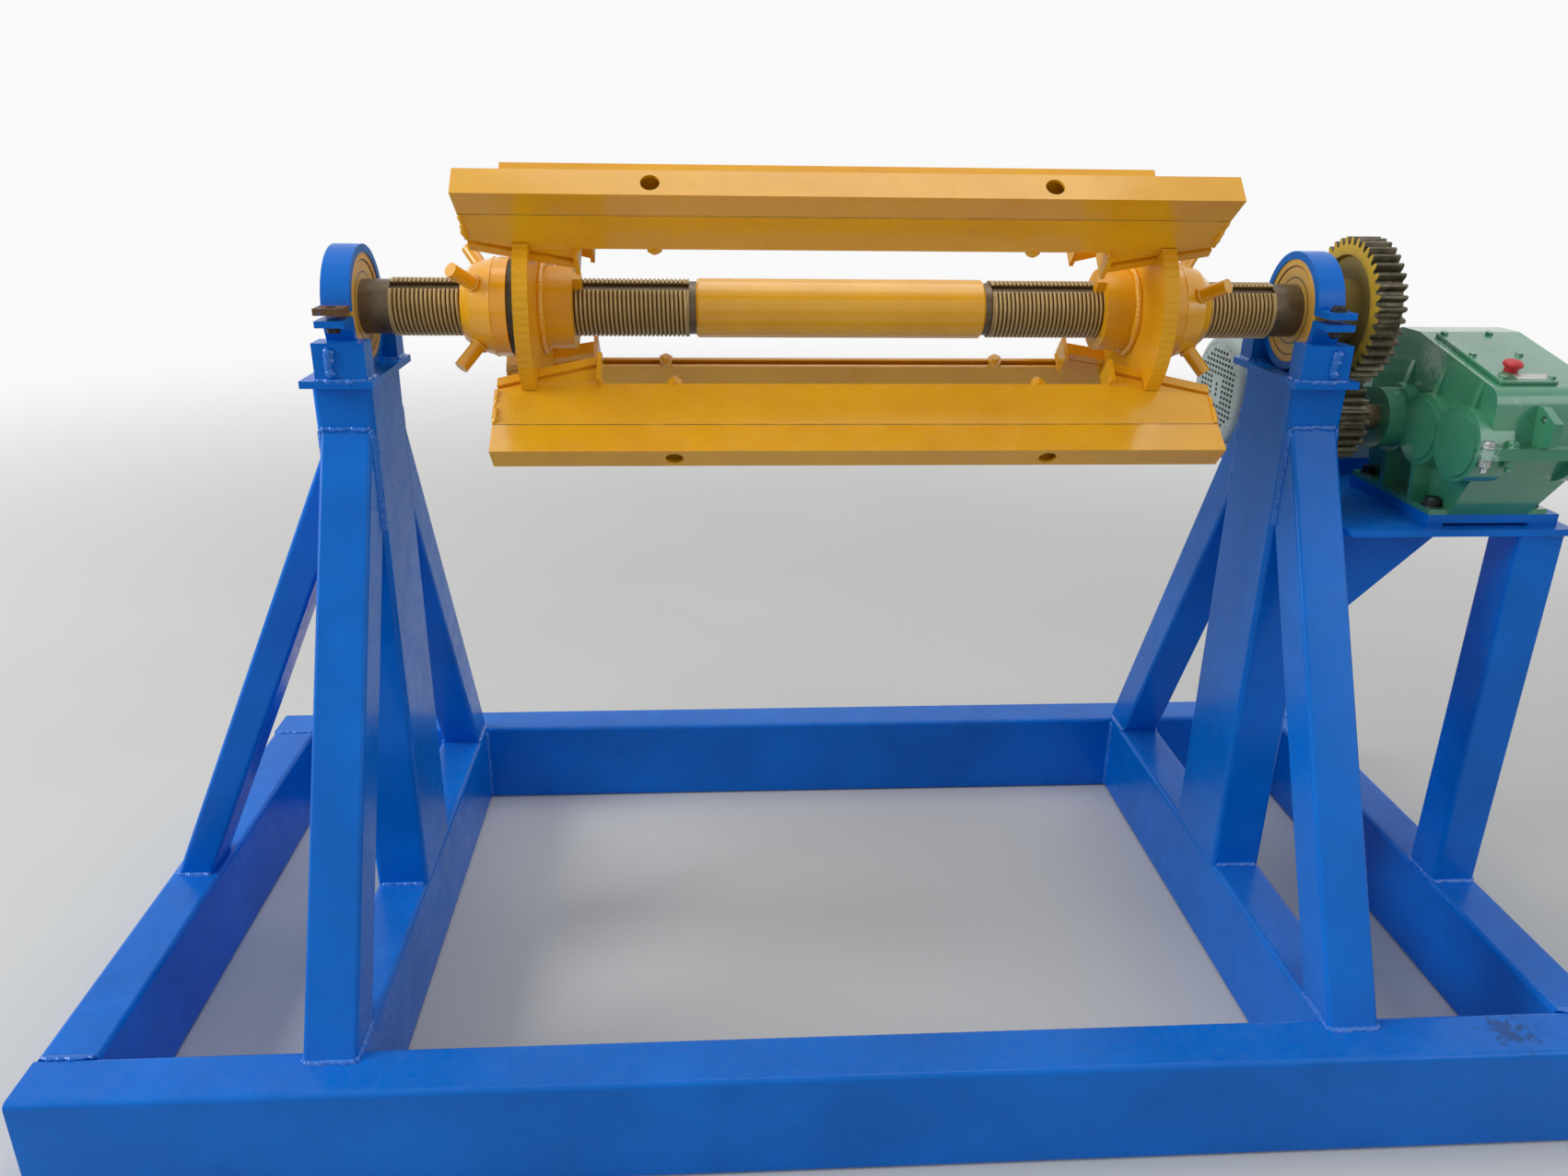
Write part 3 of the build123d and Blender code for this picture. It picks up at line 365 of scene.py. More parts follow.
def ring_bead(centre, direction, radius, half, ripple, seed, rough=0.3):
    """Weld bead round a bar: a closed torus whose thickness swells with each ripple."""
    along, first, second = axes_of(direction)
    count = max(int(2 * pi * radius / (ripple * 0.3)), 16)
    angle = np.linspace(0, 2 * pi, count, endpoint=False)
    phase = np.random.default_rng(settings().weld.seed + seed).uniform(0, 2 * pi, 2)
    slow = (np.sin(3 * angle + phase[0]) + np.sin(7 * angle + phase[1])) / 2
    waves = max(round(2 * pi * radius / ripple), 3)
    size = half * (0.86 + 0.14 * np.abs(np.cos(waves * angle / 2)) + rough * slow)
    out = np.cos(angle)[:, None] * first + np.sin(angle)[:, None] * second
    turn = np.linspace(0, 2 * pi, 8, endpoint=False)
    ring = (np.cos(turn)[None, :, None] * out[:, None, :] + np.sin(turn)[None, :, None] * along)
    points = np.asarray(centre, float) + radius * out[:, None, :] + size[:, None, None] * ring
    points = np.concatenate([points, points[:1]])
    return points.reshape(-1, 3), grid_faces(count + 1, 8, wrap=True)


# Materials


def linear(code):
    """sRGB hex code as linear light."""
    parts = [int(code[i:i + 2], 16) / 255 for i in (0, 2, 4)]
    return tuple(p / 12.92 if p <= 0.04045 else ((p + 0.055) / 1.055) ** 2.4 for p in parts) + (1.0,)


def add(tree, kind, inputs=None, out=0, stops=(), **own):
    """Adds a node with its settings, colour stops and links, and gives one output, or the node for None."""
    new = tree.nodes.new(kind)
    for name, value in own.items():
        setattr(new, name, value)
    for name, value in (inputs or {}).items():
        if isinstance(value, bpy.types.NodeSocket):
            tree.links.new(value, new.inputs[name])
        else:
            new.inputs[name].default_value = value
    for k, (position, value) in enumerate(stops):
        element = new.color_ramp.elements[k] if k < 2 else new.color_ramp.elements.new(position)
        element.position = position
        element.color = value if isinstance(value, tuple) else (value, value, value, 1)
    return new if out is None else new.outputs[out]


def blank(name):
    """A new material, its empty tree, and the place and facing of a point on the object."""
    made = bpy.data.materials.new(name)
    made.use_nodes = True
    tree = made.node_tree
    tree.nodes.clear()
    coords = add(tree, "ShaderNodeTexCoord", out=None)
    return made, tree, coords.outputs["Object"], coords.outputs["Normal"]


def reach_from(tree, place, axis_point):
    """Place seen from a point of an axis along X, and the distance from that axis."""
    moved = add(tree, VECTOR, {0: place, 1: tuple(axis_point)}, operation="SUBTRACT")
    flat = add(tree, VECTOR, {0: moved, 1: (0, 1, 1)}, operation="MULTIPLY")
    return moved, add(tree, VECTOR, {0: flat}, "Value", operation="LENGTH")


def spot(tree, place, texture, middle, radius):
    """How much a ragged spot shows: a texture raised at its middle and lowered past its radius."""
    away = add(tree, VECTOR, {0: place, 1: middle}, "Value", operation="DISTANCE")
    near = add(tree, SPREAD, {"Value": away, "From Max": radius, "To Min": 0.32, "To Max": -0.1})
    return add(tree, RAMP, {0: add(tree, MATH, {0: texture, 1: near}, operation="ADD")},
               stops=[(0.66, 0.0), (0.72, 0.9)])


def enamel(tree, place, facing, codes, rough=0.3, coat=0.1, rust=0.0, dust=0.1, waves=0.25, shine=0.25,
           where=None):
    """Alkyd enamel brushed and sprayed over mill steel, as inputs for the shader.

    It gives the eye a wet gloss with shallow waves, patches of thicker and thinner coat, dust on what
    faces up, a few dirty rubs and, where asked, small rust blooms. The codes are the coat, its thicker
    patches and the rubs.
    """
    p = settings().paint
    thin, thick, dirt = (linear(code) for code in codes)
    cloud = add(tree, NOISE, {"Vector": place, "Scale": 1 / p.patch, "Detail": 3.0, "Roughness": 0.6})
    patches = add(tree, RAMP, {0: cloud}, stops=[(0.34, 0.0), (0.7, 1.0)])
    colour = add(tree, MIX, {0: patches, 1: thin, 2: thick})
    rubs = add(tree, NOISE, {"Vector": place, "Scale": 1 / 0.035, "Detail": 6.0, "Roughness": 0.72})
    rub_mask = add(tree, RAMP, {0: rubs}, stops=[(0.6, 0.0), (0.8, 0.3)])
    colour = add(tree, MIX, {0: rub_mask, 1: colour, 2: dirt})
    grains = add(tree, NOISE, {"Vector": place, "Scale": 1 / 0.012, "Detail": 5.0, "Roughness": 0.7})
    if dust:
        upward = add(tree, RAMP, {0: add(tree, SPLIT, {0: facing}, "Z")}, stops=[(0.55, 0.0), (0.98, 1.0)])
        grit = add(tree, RAMP, {0: grains}, stops=[(0.35, 0.0), (0.75, dust)])
        settle = add(tree, MATH, {0: upward, 1: grit}, operation="MULTIPLY")
        colour = add(tree, MIX, {0: settle, 1: colour, 2: linear("A39C8A")})
    gloss = add(tree, RAMP, {0: rubs}, stops=[(0.35, rough), (0.75, rough + 0.22)])
    if rust:
        blooms = add(tree, NOISE, {"Vector": place, "Scale": 1 / 0.028, "Detail": 7.0, "Roughness": 0.75})
        bloom = add(tree, RAMP, {0: blooms}, stops=[(1 - rust, 0.0), (1.05 - rust, 1.0)])
        bloom = add(tree, MATH, {0: bloom, 1: where}, operation="MULTIPLY")
        rusty = add(tree, MIX, {0: grains, 1: linear("4E3A26"), 2: linear("7A5A3A")})
        colour = add(tree, MIX, {0: bloom, 1: colour, 2: rusty})
        dull = add(tree, MATH, {0: bloom, 1: 0.85}, operation="MULTIPLY")
        gloss = add(tree, MATH, {0: gloss, 1: dull}, operation="MAXIMUM")
    peel, slow = (add(tree, NOISE, {"Vector": place, "Scale": 1 / (times * p.peel)}) for times in (1, 9))
    height = add(tree, MATH, {0: peel, 1: 0.35, 2: slow}, operation="MULTIPLY_ADD")
    normal = add(tree, BUMP, {"Height": height, "Strength": waves, "Distance": 0.5 * MM})
    return {"Base Color": colour, "Roughness": gloss, "Normal": normal, "Coat Weight": coat,
            "Coat Roughness": 0.1, "Specular IOR Level": shine}


def blue_enamel(tree, place, facing):
    """Royal blue gloss enamel on the welded tube frame, with one dark oily smudge on the front beam."""
    look = enamel(tree, place, facing, (settings().paint.blue, *BLUE_PATCHES), 0.2, dust=0.06, shine=0.14)
    oil = add(tree, NOISE, {"Vector": place, "Scale": 1 / 0.02, "Detail": 6.0, "Roughness": 0.7})
    smudge = spot(tree, place, oil, (0.9, -0.484, 0.16), 0.075)
    smudge = add(tree, MATH, {0: smudge, 1: 0.6}, operation="MULTIPLY")
    look["Base Color"] = add(tree, MIX, {0: smudge, 1: look["Base Color"], 2: linear("22344E")})
    return look


def rusty_blue_enamel(tree, place, facing):
    """The same blue, with rust come through on the ears outside the ring."""
    across = add(tree, MATH, {0: add(tree, SPLIT, {0: place}, "Y")}, operation="ABSOLUTE")
    ears = add(tree, SPREAD, {"Value": across, "From Min": 82 * MM, "From Max": 88 * MM})
    return enamel(tree, place, facing, (settings().paint.blue, *BLUE_PATCHES), 0.26, rust=0.62, dust=0.05,
                  shine=0.22, where=ears)


def pooled_enamel(tree, place, facing, codes):
    """Enamel pooled over rippled weld metal: wet and smooth, with bright glints on every ripple."""
    return enamel(tree, place, facing, codes, 0.1, 0.4, dust=0.0, waves=0.3, shine=0.4)


def yellow_enamel(tree, place, facing):
    """Golden yellow gloss enamel on the nuts, rails and tube."""
    return enamel(tree, place, facing, (settings().paint.yellow, *YELLOW_PATCHES), 0.17, 0.55, dust=0.04,
                  shine=0.4)


def petal_enamel(tree, place, facing):
    """Golden yellow enamel on the petals, with a dark seam 1 mm wide where two plates meet at the fold.

    The distance outward of any petal is (|y| + |z|) / sqrt 2 from the spindle, as all stand at 45 degrees.
    """
    look = yellow_enamel(tree, place, facing)
    moved, _ = reach_from(tree, place, SPIN)
    positive = add(tree, SPLIT, {0: add(tree, VECTOR, {0: moved}, operation="ABSOLUTE")}, out=None)
    total = add(tree, MATH, {0: positive.outputs["Y"], 1: positive.outputs["Z"]}, operation="ADD")
    from_fold = add(tree, MATH, {0: total, 1: 0.5 ** 0.5, 2: -settings().mandrel.fold},
                    operation="MULTIPLY_ADD")
    away = add(tree, MATH, {0: from_fold}, operation="ABSOLUTE")
    seam = add(tree, SPREAD, {"Value": away, "From Min": 0.4 * MM, "From Max": 1.0 * MM, "To Min": 1.0,
                              "To Max": 0.0})
    broken = add(tree, NOISE, {"Vector": place, "Scale": 1 / 0.04, "Detail": 4.0, "Roughness": 0.7})
    shown = add(tree, RAMP, {0: broken}, stops=[(0.3, 0.35), (0.5, 0.9)])
    seam = add(tree, MATH, {0: seam, 1: shown}, operation="MULTIPLY")
    look["Base Color"] = add(tree, MIX, {0: seam, 1: look["Base Color"], 2: linear("4A3210")})
    return look


def flame_cut_yellow(tree, place, facing):
    """Yellow enamel over a flame-cut plate, with drag lines across its rim.

    Real drag lines are 3.5 mm apart. They are drawn 10.5 mm apart, as coarse as it takes to show them.
    """
    rim_radius, spacing, wander = 145, 10.5, 9.0
    look = enamel(tree, place, facing, (settings().paint.yellow, "DF9E14", "96691C"), 0.27, 0.2, dust=0.04)
    moved, reach = reach_from(tree, place, SPIN)
    parts = add(tree, SPLIT, {0: moved}, out=None)
    angle = add(tree, MATH, {0: parts.outputs["Z"], 1: parts.outputs["Y"]}, operation="ARCTAN2")
    rim = add(tree, RAMP, {0: add(tree, MATH, {0: reach, 1: 6.0}, operation="MULTIPLY")},
              stops=[(0.855, 0.0), (0.865, 1.0)])
    drift = add(tree, NOISE, {"Vector": place, "Scale": 1 / 0.02, "Detail": 3.0, "Roughness": 0.6})
    turns = add(tree, MATH, {0: angle, 1: rim_radius / spacing * 2 * pi}, operation="MULTIPLY")
    waves = add(tree, MATH, {0: drift, 1: wander, 2: turns}, operation="MULTIPLY_ADD")
    lines = add(tree, MATH, {0: waves}, operation="SINE")
    height = add(tree, MATH, {0: lines, 1: rim}, operation="MULTIPLY")
    look["Normal"] = add(tree, BUMP, {"Height": height, "Strength": 0.6, "Distance": 0.6 * MM,
                                      "Normal": look["Normal"]})
    return look


def greased_gear(tree, place, facing, axis_point, root, web):
    """Gear with yellow painted faces, a dull brown web and dark greasy steel on the teeth."""
    look = enamel(tree, place, facing, ("D6B23C", "BC9A30", "7C6E34"), 0.36, dust=0.0)
    _, reach = reach_from(tree, place, axis_point)
    smear = add(tree, NOISE, {"Vector": place, "Scale": 1 / 0.02, "Detail": 5.0, "Roughness": 0.7})
    ragged = add(tree, MATH, {0: smear, 1: 0.02, 2: reach}, operation="MULTIPLY_ADD")
    scaled = add(tree, MATH, {0: ragged, 1: 8.0}, operation="MULTIPLY")
    inner = add(tree, RAMP, {0: scaled}, stops=[(web * 8 + 0.03, 0.8), (web * 8 + 0.13, 0.0)])
    colour = add(tree, MIX, {0: inner, 1: look["Base Color"], 2: linear("80744A")})
    sideways = add(tree, MATH, {0: add(tree, SPLIT, {0: facing}, "X")}, operation="ABSOLUTE")
    flank = add(tree, RAMP, {0: sideways}, stops=[(0.5, 1.0), (0.7, 0.0)])
    outside = add(tree, MATH, {0: reach, 1: root - 2 * MM}, operation="GREATER_THAN")
    tooth = add(tree, MATH, {0: flank, 1: outside}, operation="MULTIPLY")
    grease = add(tree, RAMP, {0: smear}, stops=[(0.35, linear("454032")), (0.6, linear("6E6650")),
                                                (0.8, linear("9A9278"))])
    look["Base Color"] = add(tree, MIX, {0: tooth, 1: colour, 2: grease})
    look["Metallic"] = add(tree, MATH, {0: tooth, 1: 0.4}, operation="MULTIPLY")
    return look


def bearing_enamel(tree, place, facing):
    """Bearing under yellow overspray: thin dark lines of painted shade, one in the recessed gap between each
    two rings, part its outer ring, its seal and its inner ring.
    """
    look = enamel(tree, place, facing, ("F2C052", "DEAA40", "9C8248"), 0.26, 0.3, dust=0.0)
    _, reach = reach_from(tree, place, SPIN)
    scaled = add(tree, MATH, {0: reach, 1: 10.0}, operation="MULTIPLY")
    inside = add(tree, RAMP, {0: scaled}, stops=[(0.46, 0.65), (0.64, 0.1), (0.66, 0.0)])
    colour = add(tree, MIX, {0: inside, 1: look["Base Color"], 2: linear("BE9A50")})
    # Painted shade: a dark brown line at each recessed gap between the rings, which the bump below also
    # sinks.
    shaded_gaps = add(tree, RAMP, {0: scaled}, stops=[(0.455, 0.0), (0.462, 1.0), (0.475, 1.0), (0.482, 0.0),
                                               (0.615, 0.0), (0.622, 1.0), (0.634, 1.0), (0.641, 0.0)])
    look["Base Color"] = add(tree, MIX, {0: shaded_gaps, 1: colour, 2: linear("2E2412")})
    turning = add(tree, MATH, {0: reach, 1: 2 * pi / (4 * MM)}, operation="MULTIPLY")
    fine = add(tree, MATH, {0: turning}, operation="SINE")
    height = add(tree, MATH, {0: shaded_gaps, 1: -4.0, 2: fine}, operation="MULTIPLY_ADD")
    look["Normal"] = add(tree, BUMP, {"Height": height, "Strength": 0.35, "Distance": 0.3 * MM,
                                      "Normal": look["Normal"]})
    return look


def green_enamel(tree, place, facing):
    """Machine green enamel on sand-cast iron, with pale filler and two pale green-grey spots, ragged by
    streaks.

    The pale spots fade out with the distance from a point on the case's end and from a corner of its flange.
    """
    look = enamel(tree, place, facing, (settings().paint.green, "388264", "285A46"), 0.14, 0.7, dust=0.05,
                  waves=0.4, shine=0.5)
    filler = add(tree, NOISE, {"Vector": place, "Scale": 1 / 0.06, "Detail": 6.0, "Roughness": 0.7})
    mask = add(tree, RAMP, {0: filler}, stops=[(0.66, 0.0), (0.7, 0.7)])
    look["Base Color"] = add(tree, MIX, {0: mask, 1: look["Base Color"], 2: linear("86B49E")})
    drawn = add(tree, MAPPING, {"Vector": place, "Rotation": (0.6, 0.3, 0.0), "Scale": (90.0, 420.0, 90.0)})
    streaks = add(tree, NOISE, {"Vector": drawn, "Scale": 1.0, "Detail": 6.0, "Roughness": 0.75})
    # Two pale green-grey spots at fixed places, their edges ragged by a stretched streaky noise.
    for middle, radius in (((0.866, -0.05, 1.005), 0.07), ((0.858, -0.225, 0.909), 0.036)):
        pale_spot = spot(tree, place, streaks, middle, radius)
        look["Base Color"] = add(tree, MIX, {0: pale_spot, 1: look["Base Color"], 2: linear("9DBDB0")})
    sand = add(tree, NOISE, {"Vector": place, "Scale": 1 / (1.6 * MM), "Detail": 3.0, "Roughness": 0.6})
    height = add(tree, MATH, {0: mask, 1: 2.0, 2: sand}, operation="MULTIPLY_ADD")
    look["Normal"] = add(tree, BUMP, {"Height": height, "Strength": 0.25, "Distance": 0.4 * MM,
                                      "Normal": look["Normal"]})
    return look


def grey_enamel(tree, place, facing):
    """Pale grey-green motor enamel on cast and pressed metal."""
    return enamel(tree, place, facing, (settings().paint.grey, "AFC2C0", "7C908E"), 0.34, 0.2, dust=0.12)


def metal(tree, place, grain, colours, rough, metallic, detail=5.0, uneven=0.7):
    """Bare metal whose colour, and gloss where it is a pair, follow one cloud of the given grain."""
    cloud = add(tree, NOISE, {"Vector": place, "Scale": 1 / grain, "Detail": detail, "Roughness": uneven})
    colour = add(tree, RAMP, {0: cloud}, stops=[(share, linear(code)) for share, code in colours])
    if isinstance(rough, tuple):
        rough = add(tree, RAMP, {0: cloud}, stops=list(zip((0.3, 0.8), rough)))
    return {"Base Color": colour, "Roughness": rough, "Metallic": metallic}


def oiled_thread(tree, place, facing):
    """Turned carbon steel under brown oil, coloured by depth: lighter crests are rubbed bright and carry a
    painted highlight, darker grooves hold oil and painted shade.
    """
    t = settings().thread
    grime = add(tree, NOISE, {"Vector": place, "Scale": 1 / 0.03, "Detail": 5.0, "Roughness": 0.65})
    _, reach = reach_from(tree, place, SPIN)
    level = add(tree, SPREAD, {"Value": reach, "From Min": t.radius - t.depth, "From Max": t.radius})
    # Colour by depth in the thread: painted shade darkens the grooves and a painted highlight lightens the
    # crests, over oil and rubbed metal.
    colour = add(tree, RAMP, {0: level}, stops=[(0.05, linear("523F20")), (0.4, linear("8A6E40")),
                                                (0.85, linear("AF915A")), (1.0, linear("BEA26A"))])
    dark = add(tree, RAMP, {0: grime}, stops=[(0.5, 0.0), (0.8, 0.4)])
    colour = add(tree, MIX, {0: dark, 1: colour, 2: linear("6A5026")})
    gloss = add(tree, RAMP, {0: grime}, stops=[(0.3, 0.3), (0.8, 0.5)])
    return {"Base Color": colour, "Roughness": gloss, "Metallic": 0.25}


def oiled_journal(tree, place, facing):
    """Turned shaft steel under old oil: olive brown with fine turning marks and darker runs."""
    look = metal(tree, place, 0.03, [(0.3, "5C4A32"), (0.55, "6E5E44"), (0.75, "40331E")], (0.26, 0.48), 0.35,
                 uneven=0.65)
    spread = add(tree, MAPPING, {"Vector": place, "Scale": (1500.0, 30.0, 30.0)})
    turning = add(tree, NOISE, {"Vector": spread, "Scale": 1.0})
    look["Normal"] = add(tree, BUMP, {"Height": turning, "Strength": 0.15, "Distance": 0.1 * MM})
    return look


def dark_ring(tree, place, facing):
    """Old cast bronze of the thrust rings, black-green with grease."""
    return metal(tree, place, 0.015, [(0.3, "23231C"), (0.75, "565036")], (0.35, 0.6), 0.4)


def black_bolt(tree, place, facing):
    """Black-oxide steel bolts: dark, satin, with bright rubs."""
    return metal(tree, place, 4 * MM, [(0.4, "24262A"), (0.7, "4A4C50"), (0.85, "8C8C8A")], 0.42, 0.8, 4.0)


def zinc_bolt(tree, place, facing):
    """Bright zinc-plated steel gone slightly cloudy."""
    return metal(tree, place, 5 * MM, [(0.3, "8E9290"), (0.75, "C4C8C6")], (0.3, 0.5), 0.9, 4.0, 0.6)


def blank_aluminium(tree, place, facing):
    """Thin brushed aluminium plate left blank: pale satin metal with fine lines along it."""
    drawn = add(tree, MAPPING, {"Vector": place, "Scale": (40.0, 1200.0, 1200.0)})
    return metal(tree, drawn, 1.0, [(0.3, "A9ABA6"), (0.7, "CFD0CC")], 0.38, 0.7, 3.0, 0.5)


def red_plastic(tree, place, facing):
    """Moulded red polyethylene of the breather: soft, slightly waxy and faded in patches."""
    fade = add(tree, NOISE, {"Vector": place, "Scale": 1 / 0.01, "Detail": 3.0, "Roughness": 0.6})
    colour = add(tree, MIX, {0: fade, 1: linear("B01820"), 2: linear("D32A33")})
    return {"Base Color": colour, "Roughness": 0.42, "Subsurface Weight": 0.08,
            "Subsurface Radius": (2 * MM, 0.6 * MM, 0.4 * MM)}


# The name of each finish, and the function that works out its inputs for the shader
FINISHES = {
    "blue": ("blue_gloss_enamel", blue_enamel),
    "blue_rust": ("blue_enamel_with_rusty_ears", rusty_blue_enamel),
    "blue_weld": ("blue_enamel_over_weld",
                  lambda *at: pooled_enamel(*at, (settings().paint.blue, *BLUE_PATCHES))),
    "yellow": ("yellow_gloss_enamel", yellow_enamel),
    "yellow_weld": ("yellow_enamel_over_weld",
                    lambda *at: pooled_enamel(*at, (settings().paint.yellow, "E8A412", "9C6E1C"))),
    "petal": ("yellow_enamel_over_seam", petal_enamel),
    "flame": ("yellow_enamel_on_flame_cut_rim", flame_cut_yellow),
    "thread": ("oiled_turned_steel", oiled_thread),
    "steel": ("oiled_shaft_steel", oiled_journal),
    "bearing": ("painted_bearing_face", bearing_enamel),
    "gear": ("painted_gear_with_greasy_teeth", lambda *at: greased_gear(*at, SPIN, 94 * MM, 80 * MM)),
    "pinion": ("greasy_pinion_steel", lambda *at: greased_gear(*at, PINION, 20 * MM, 60 * MM)),
    "green": ("green_enamel_on_cast_iron", green_enamel),
    "grey": ("pale_grey_motor_enamel", grey_enamel),
    "red": ("red_moulded_plastic", red_plastic),
    "ring": ("greasy_dark_bronze", dark_ring),
    "black": ("black_oxide_steel", black_bolt),
    "zinc": ("zinc_plated_steel", zinc_bolt),
    "plate": ("brushed_blank_aluminium", blank_aluminium),
}

# The finish of each solid, by the first words of its name
STARTS = {
    "housing_cap_left": "blue_rust", "beam": "blue", "column": "blue", "leg": "blue", "top_plate": "blue",
    "brace": "blue", "housing": "blue", "platform": "blue", "gearbox_rails": "blue", "motor_tray": "blue",
    "bearing": "bearing", "petal": "petal", "wedge": "yellow", "carrier": "flame", "nut": "yellow",
    "centre_tube": "yellow", "spindle_gear": "gear", "thrust": "ring", "gearbox": "green",
    "inspection": "green", "lifting": "green", "spindle_shaft": "steel", "pinion": "pinion",
    "output_shaft": "steel", "input_shaft": "steel", "motor_shaft": "steel", "motor": "grey",
    "terminal": "grey", "breather": "red",
}
MADE = {}


def material(finish):
    """The material of a finish, made once: its function gives the inputs of one principled shader."""
    if finish not in MADE:
        name, look_of = FINISHES[finish]
        MADE[finish], tree, place, facing = blank(name)
        shader = add(tree, SHADER, look_of(tree, place, facing))
        add(tree, OUTPUT, {"Surface": shader}, out=None)
    return MADE[finish]


class DECOILER_OT_paint(bpy.types.Operator):
    """Gives every solid of the frame its finish"""

    bl_idname = "decoiler.paint"
    bl_label = "Paint the solids"

    def execute(self, context):
        for name, solid in frame["nodes"].items():
            finish = next(finish for start, finish in STARTS.items() if name.startswith(start))
            solid.data.materials.clear()
            solid.data.materials.append(material(finish))
        return {"FINISHED"}


# Spindle


def shaft_angles(t):
    """Angles round the shaft, with a close pair at each edge of the keyway."""
    half = np.arcsin(t.keyway / 2 / t.radius)
    even = np.linspace(0, 2 * pi, 72, endpoint=False) + t.keyway_angle
    away = np.abs((even - t.keyway_angle + pi) % (2 * pi) - pi) > half + 0.02
    edges = t.keyway_angle + np.array([-half - 0.002, -half, -half / 2, 0, half / 2, half, half + 0.002])
    return np.sort(np.concatenate([even[away], edges]) % (2 * pi))


def threaded_zone(t, start, end):
    """Screw thread with a keyway.

    The radius is the crest less the depth times half of 1 - cos(2 pi (x / pitch - angle / 2 pi)), raised to
    3.2, and faded out over one pitch at both ends. Inside the keyway it is at most floor / cos(angle).
    """
    angle = shaft_angles(t)
    x = np.linspace(start, end, int(abs(end - start) / t.pitch * 8) + 1)
    phase = 2 * pi * (x[:, None] / t.pitch - angle[None, :] / (2 * pi))
    groove = (0.5 - 0.5 * np.cos(phase)) ** 3.2
    inside = np.minimum(np.abs(x - start), np.abs(x - end)) / t.pitch
    radius = t.radius - t.depth * groove * np.clip(inside, 0, 1)[:, None]
    away = (angle - t.keyway_angle + pi) % (2 * pi) - pi
    in_key = np.abs(away) <= np.arcsin(t.keyway / 2 / t.radius) + 1e-6
    floor = np.where(in_key, t.keyway_floor / np.cos(away), 1.0)
    radius = np.minimum(radius, floor[None, :])
    points = np.stack([np.broadcast_to(x[:, None], radius.shape), SPIN.y + radius * np.cos(angle),
                       SPIN.z + radius * np.sin(angle)], -1)
    parts = [(points.reshape(-1, 3), grid_faces(len(x), len(angle), wrap=True))]
    for row in (points[0], points[-1]):
        middle = np.broadcast_to(np.array([row[0, 0], SPIN.y, SPIN.z]), row.shape)
        parts.append((np.concatenate([row, middle]), grid_faces(2, len(angle), wrap=True)))
    return joined(parts)


class DECOILER_OT_spindle(bpy.types.Operator):
    """Makes the shaft with real threads, keyways, reliefs and turned journals"""

    bl_idname = "decoiler.spindle"
    bl_label = "Threaded spindle"

    def execute(self, context):
        t = settings().thread
        low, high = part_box("spindle_shaft")
        for side, sign in SIDES.items():
            zone = threaded_zone(t, sign * t.inner, sign * t.outer)
            put_piece(f"thread_{side}", [zone], "thread", "spindle", sharp=50)
        edge = 1.5 * MM
        left = [(low[0], 0), (low[0], t.journal - edge), (low[0] + edge, t.journal), (-t.outer, t.journal),
                (-t.outer, 0)]
        middle = [(-t.inner, 0), (-t.inner, t.relief), (-t.core, t.relief), (-t.core, t.journal),
                  (t.core, t.journal), (t.core, t.relief), (t.inner, t.relief), (t.inner, 0)]
        right = [(t.outer, 0), (t.outer, t.journal), (t.seat_start, t.journal), (t.seat_start, t.seat),
                 (high[0] - edge, t.seat), (high[0], t.seat - edge), (high[0], 0)]
        parts = [turned((0, SPIN.y, SPIN.z), ALONG, rows, 72) for rows in (left, middle, right)]
        put_piece("shaft_journals", parts, "steel", "spindle", replaces=["spindle_shaft"])
        return {"FINISHED"}


# Welds of the frame


def box_edges(name):
    """Low and high corners of a solid as arrays."""
    low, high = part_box(name)
    return np.array(low), np.array(high)


def two_sides(low, high, axis):
    """The low and the high side of a box along an axis, each with its outward sign."""
    return (low[axis], -1), (high[axis], 1)


def rectangle_beads(low, high, z, lean, seed, width=1.0):
    """Four beads round a rectangle at one height, each leaning outward and up or down."""
    corners = [(low[0], low[1]), (high[0], low[1]), (high[0], high[1]), (low[0], high[1])]
    return [weld_bead([(*corners[k], z), (*corners[(k + 1) % 4], z)], (*out, lean), seed + k, width)
            for k, out in enumerate(((0, -1), (1, 0), (0, 1), (-1, 0)))]


def pedestal_beads(side, sign):
    """Beads of one pedestal: column foot and head, leg feet and heads, bearing stands."""
    low, high = box_edges(f"column_{side}")
    floor, corner = low[2], 6 * MM
    beads = [weld_bead([(low[0] + corner, y, floor), (high[0] - corner, y, floor)], (0, out, 1), 1)
             for y, out in two_sides(low, high, 1)]
    beads += rectangle_beads(low, high, high[2], -1, 10, 0.8)
    for place, end in (("front", -1), ("rear", 1)):
        a, b = box_edges(f"leg_{place}_{side}")
        foot_out, face = (a[1], low[1]) if end < 0 else (b[1], high[1])
        lean = atan2(abs(foot_out - face), b[2] - a[2])
        foot_in = foot_out - end * (b[0] - a[0]) / cos(lean)
        rise = (b[0] - a[0]) / sin(lean)
        for x, out in two_sides(a, b, 0):
            beads += [weld_bead([(x, foot_out, floor), (x, foot_in, floor)], (out, 0, 1), 20),
                      weld_bead([(x, face, b[2] - rise), (x, face, b[2])], (out, end, 0), 21)]
        beads += [weld_bead([(a[0], foot_out, floor), (b[0], foot_out, floor)], (0, end, 1), 22),
                  weld_bead([(a[0], face, b[2]), (b[0], face, b[2])], (0, end, 1), 23, 0.9)]
    seat = box_edges(f"top_plate_{side}")[1][2]
    low, high = box_edges(f"housing_lower_{side}")
    stand_depth, stand_gap, weld_foot, weld_head = 38 * MM, 63 * MM, 2 * MM, 46 * MM
    face = sign * 692 * MM
    for end in (-1, 1):
        y = end * stand_gap, end * (stand_gap + stand_depth)
        beads += rectangle_beads((low[0], min(y)), (high[0], max(y)), seat, 1, 30, 0.85)
        path = [(face, y[1], seat + rise) for rise in (weld_foot, weld_head)]
        beads.append(weld_bead(path, (0, end, 0), 31, 1.5, 1.6, 0.3))
    return beads


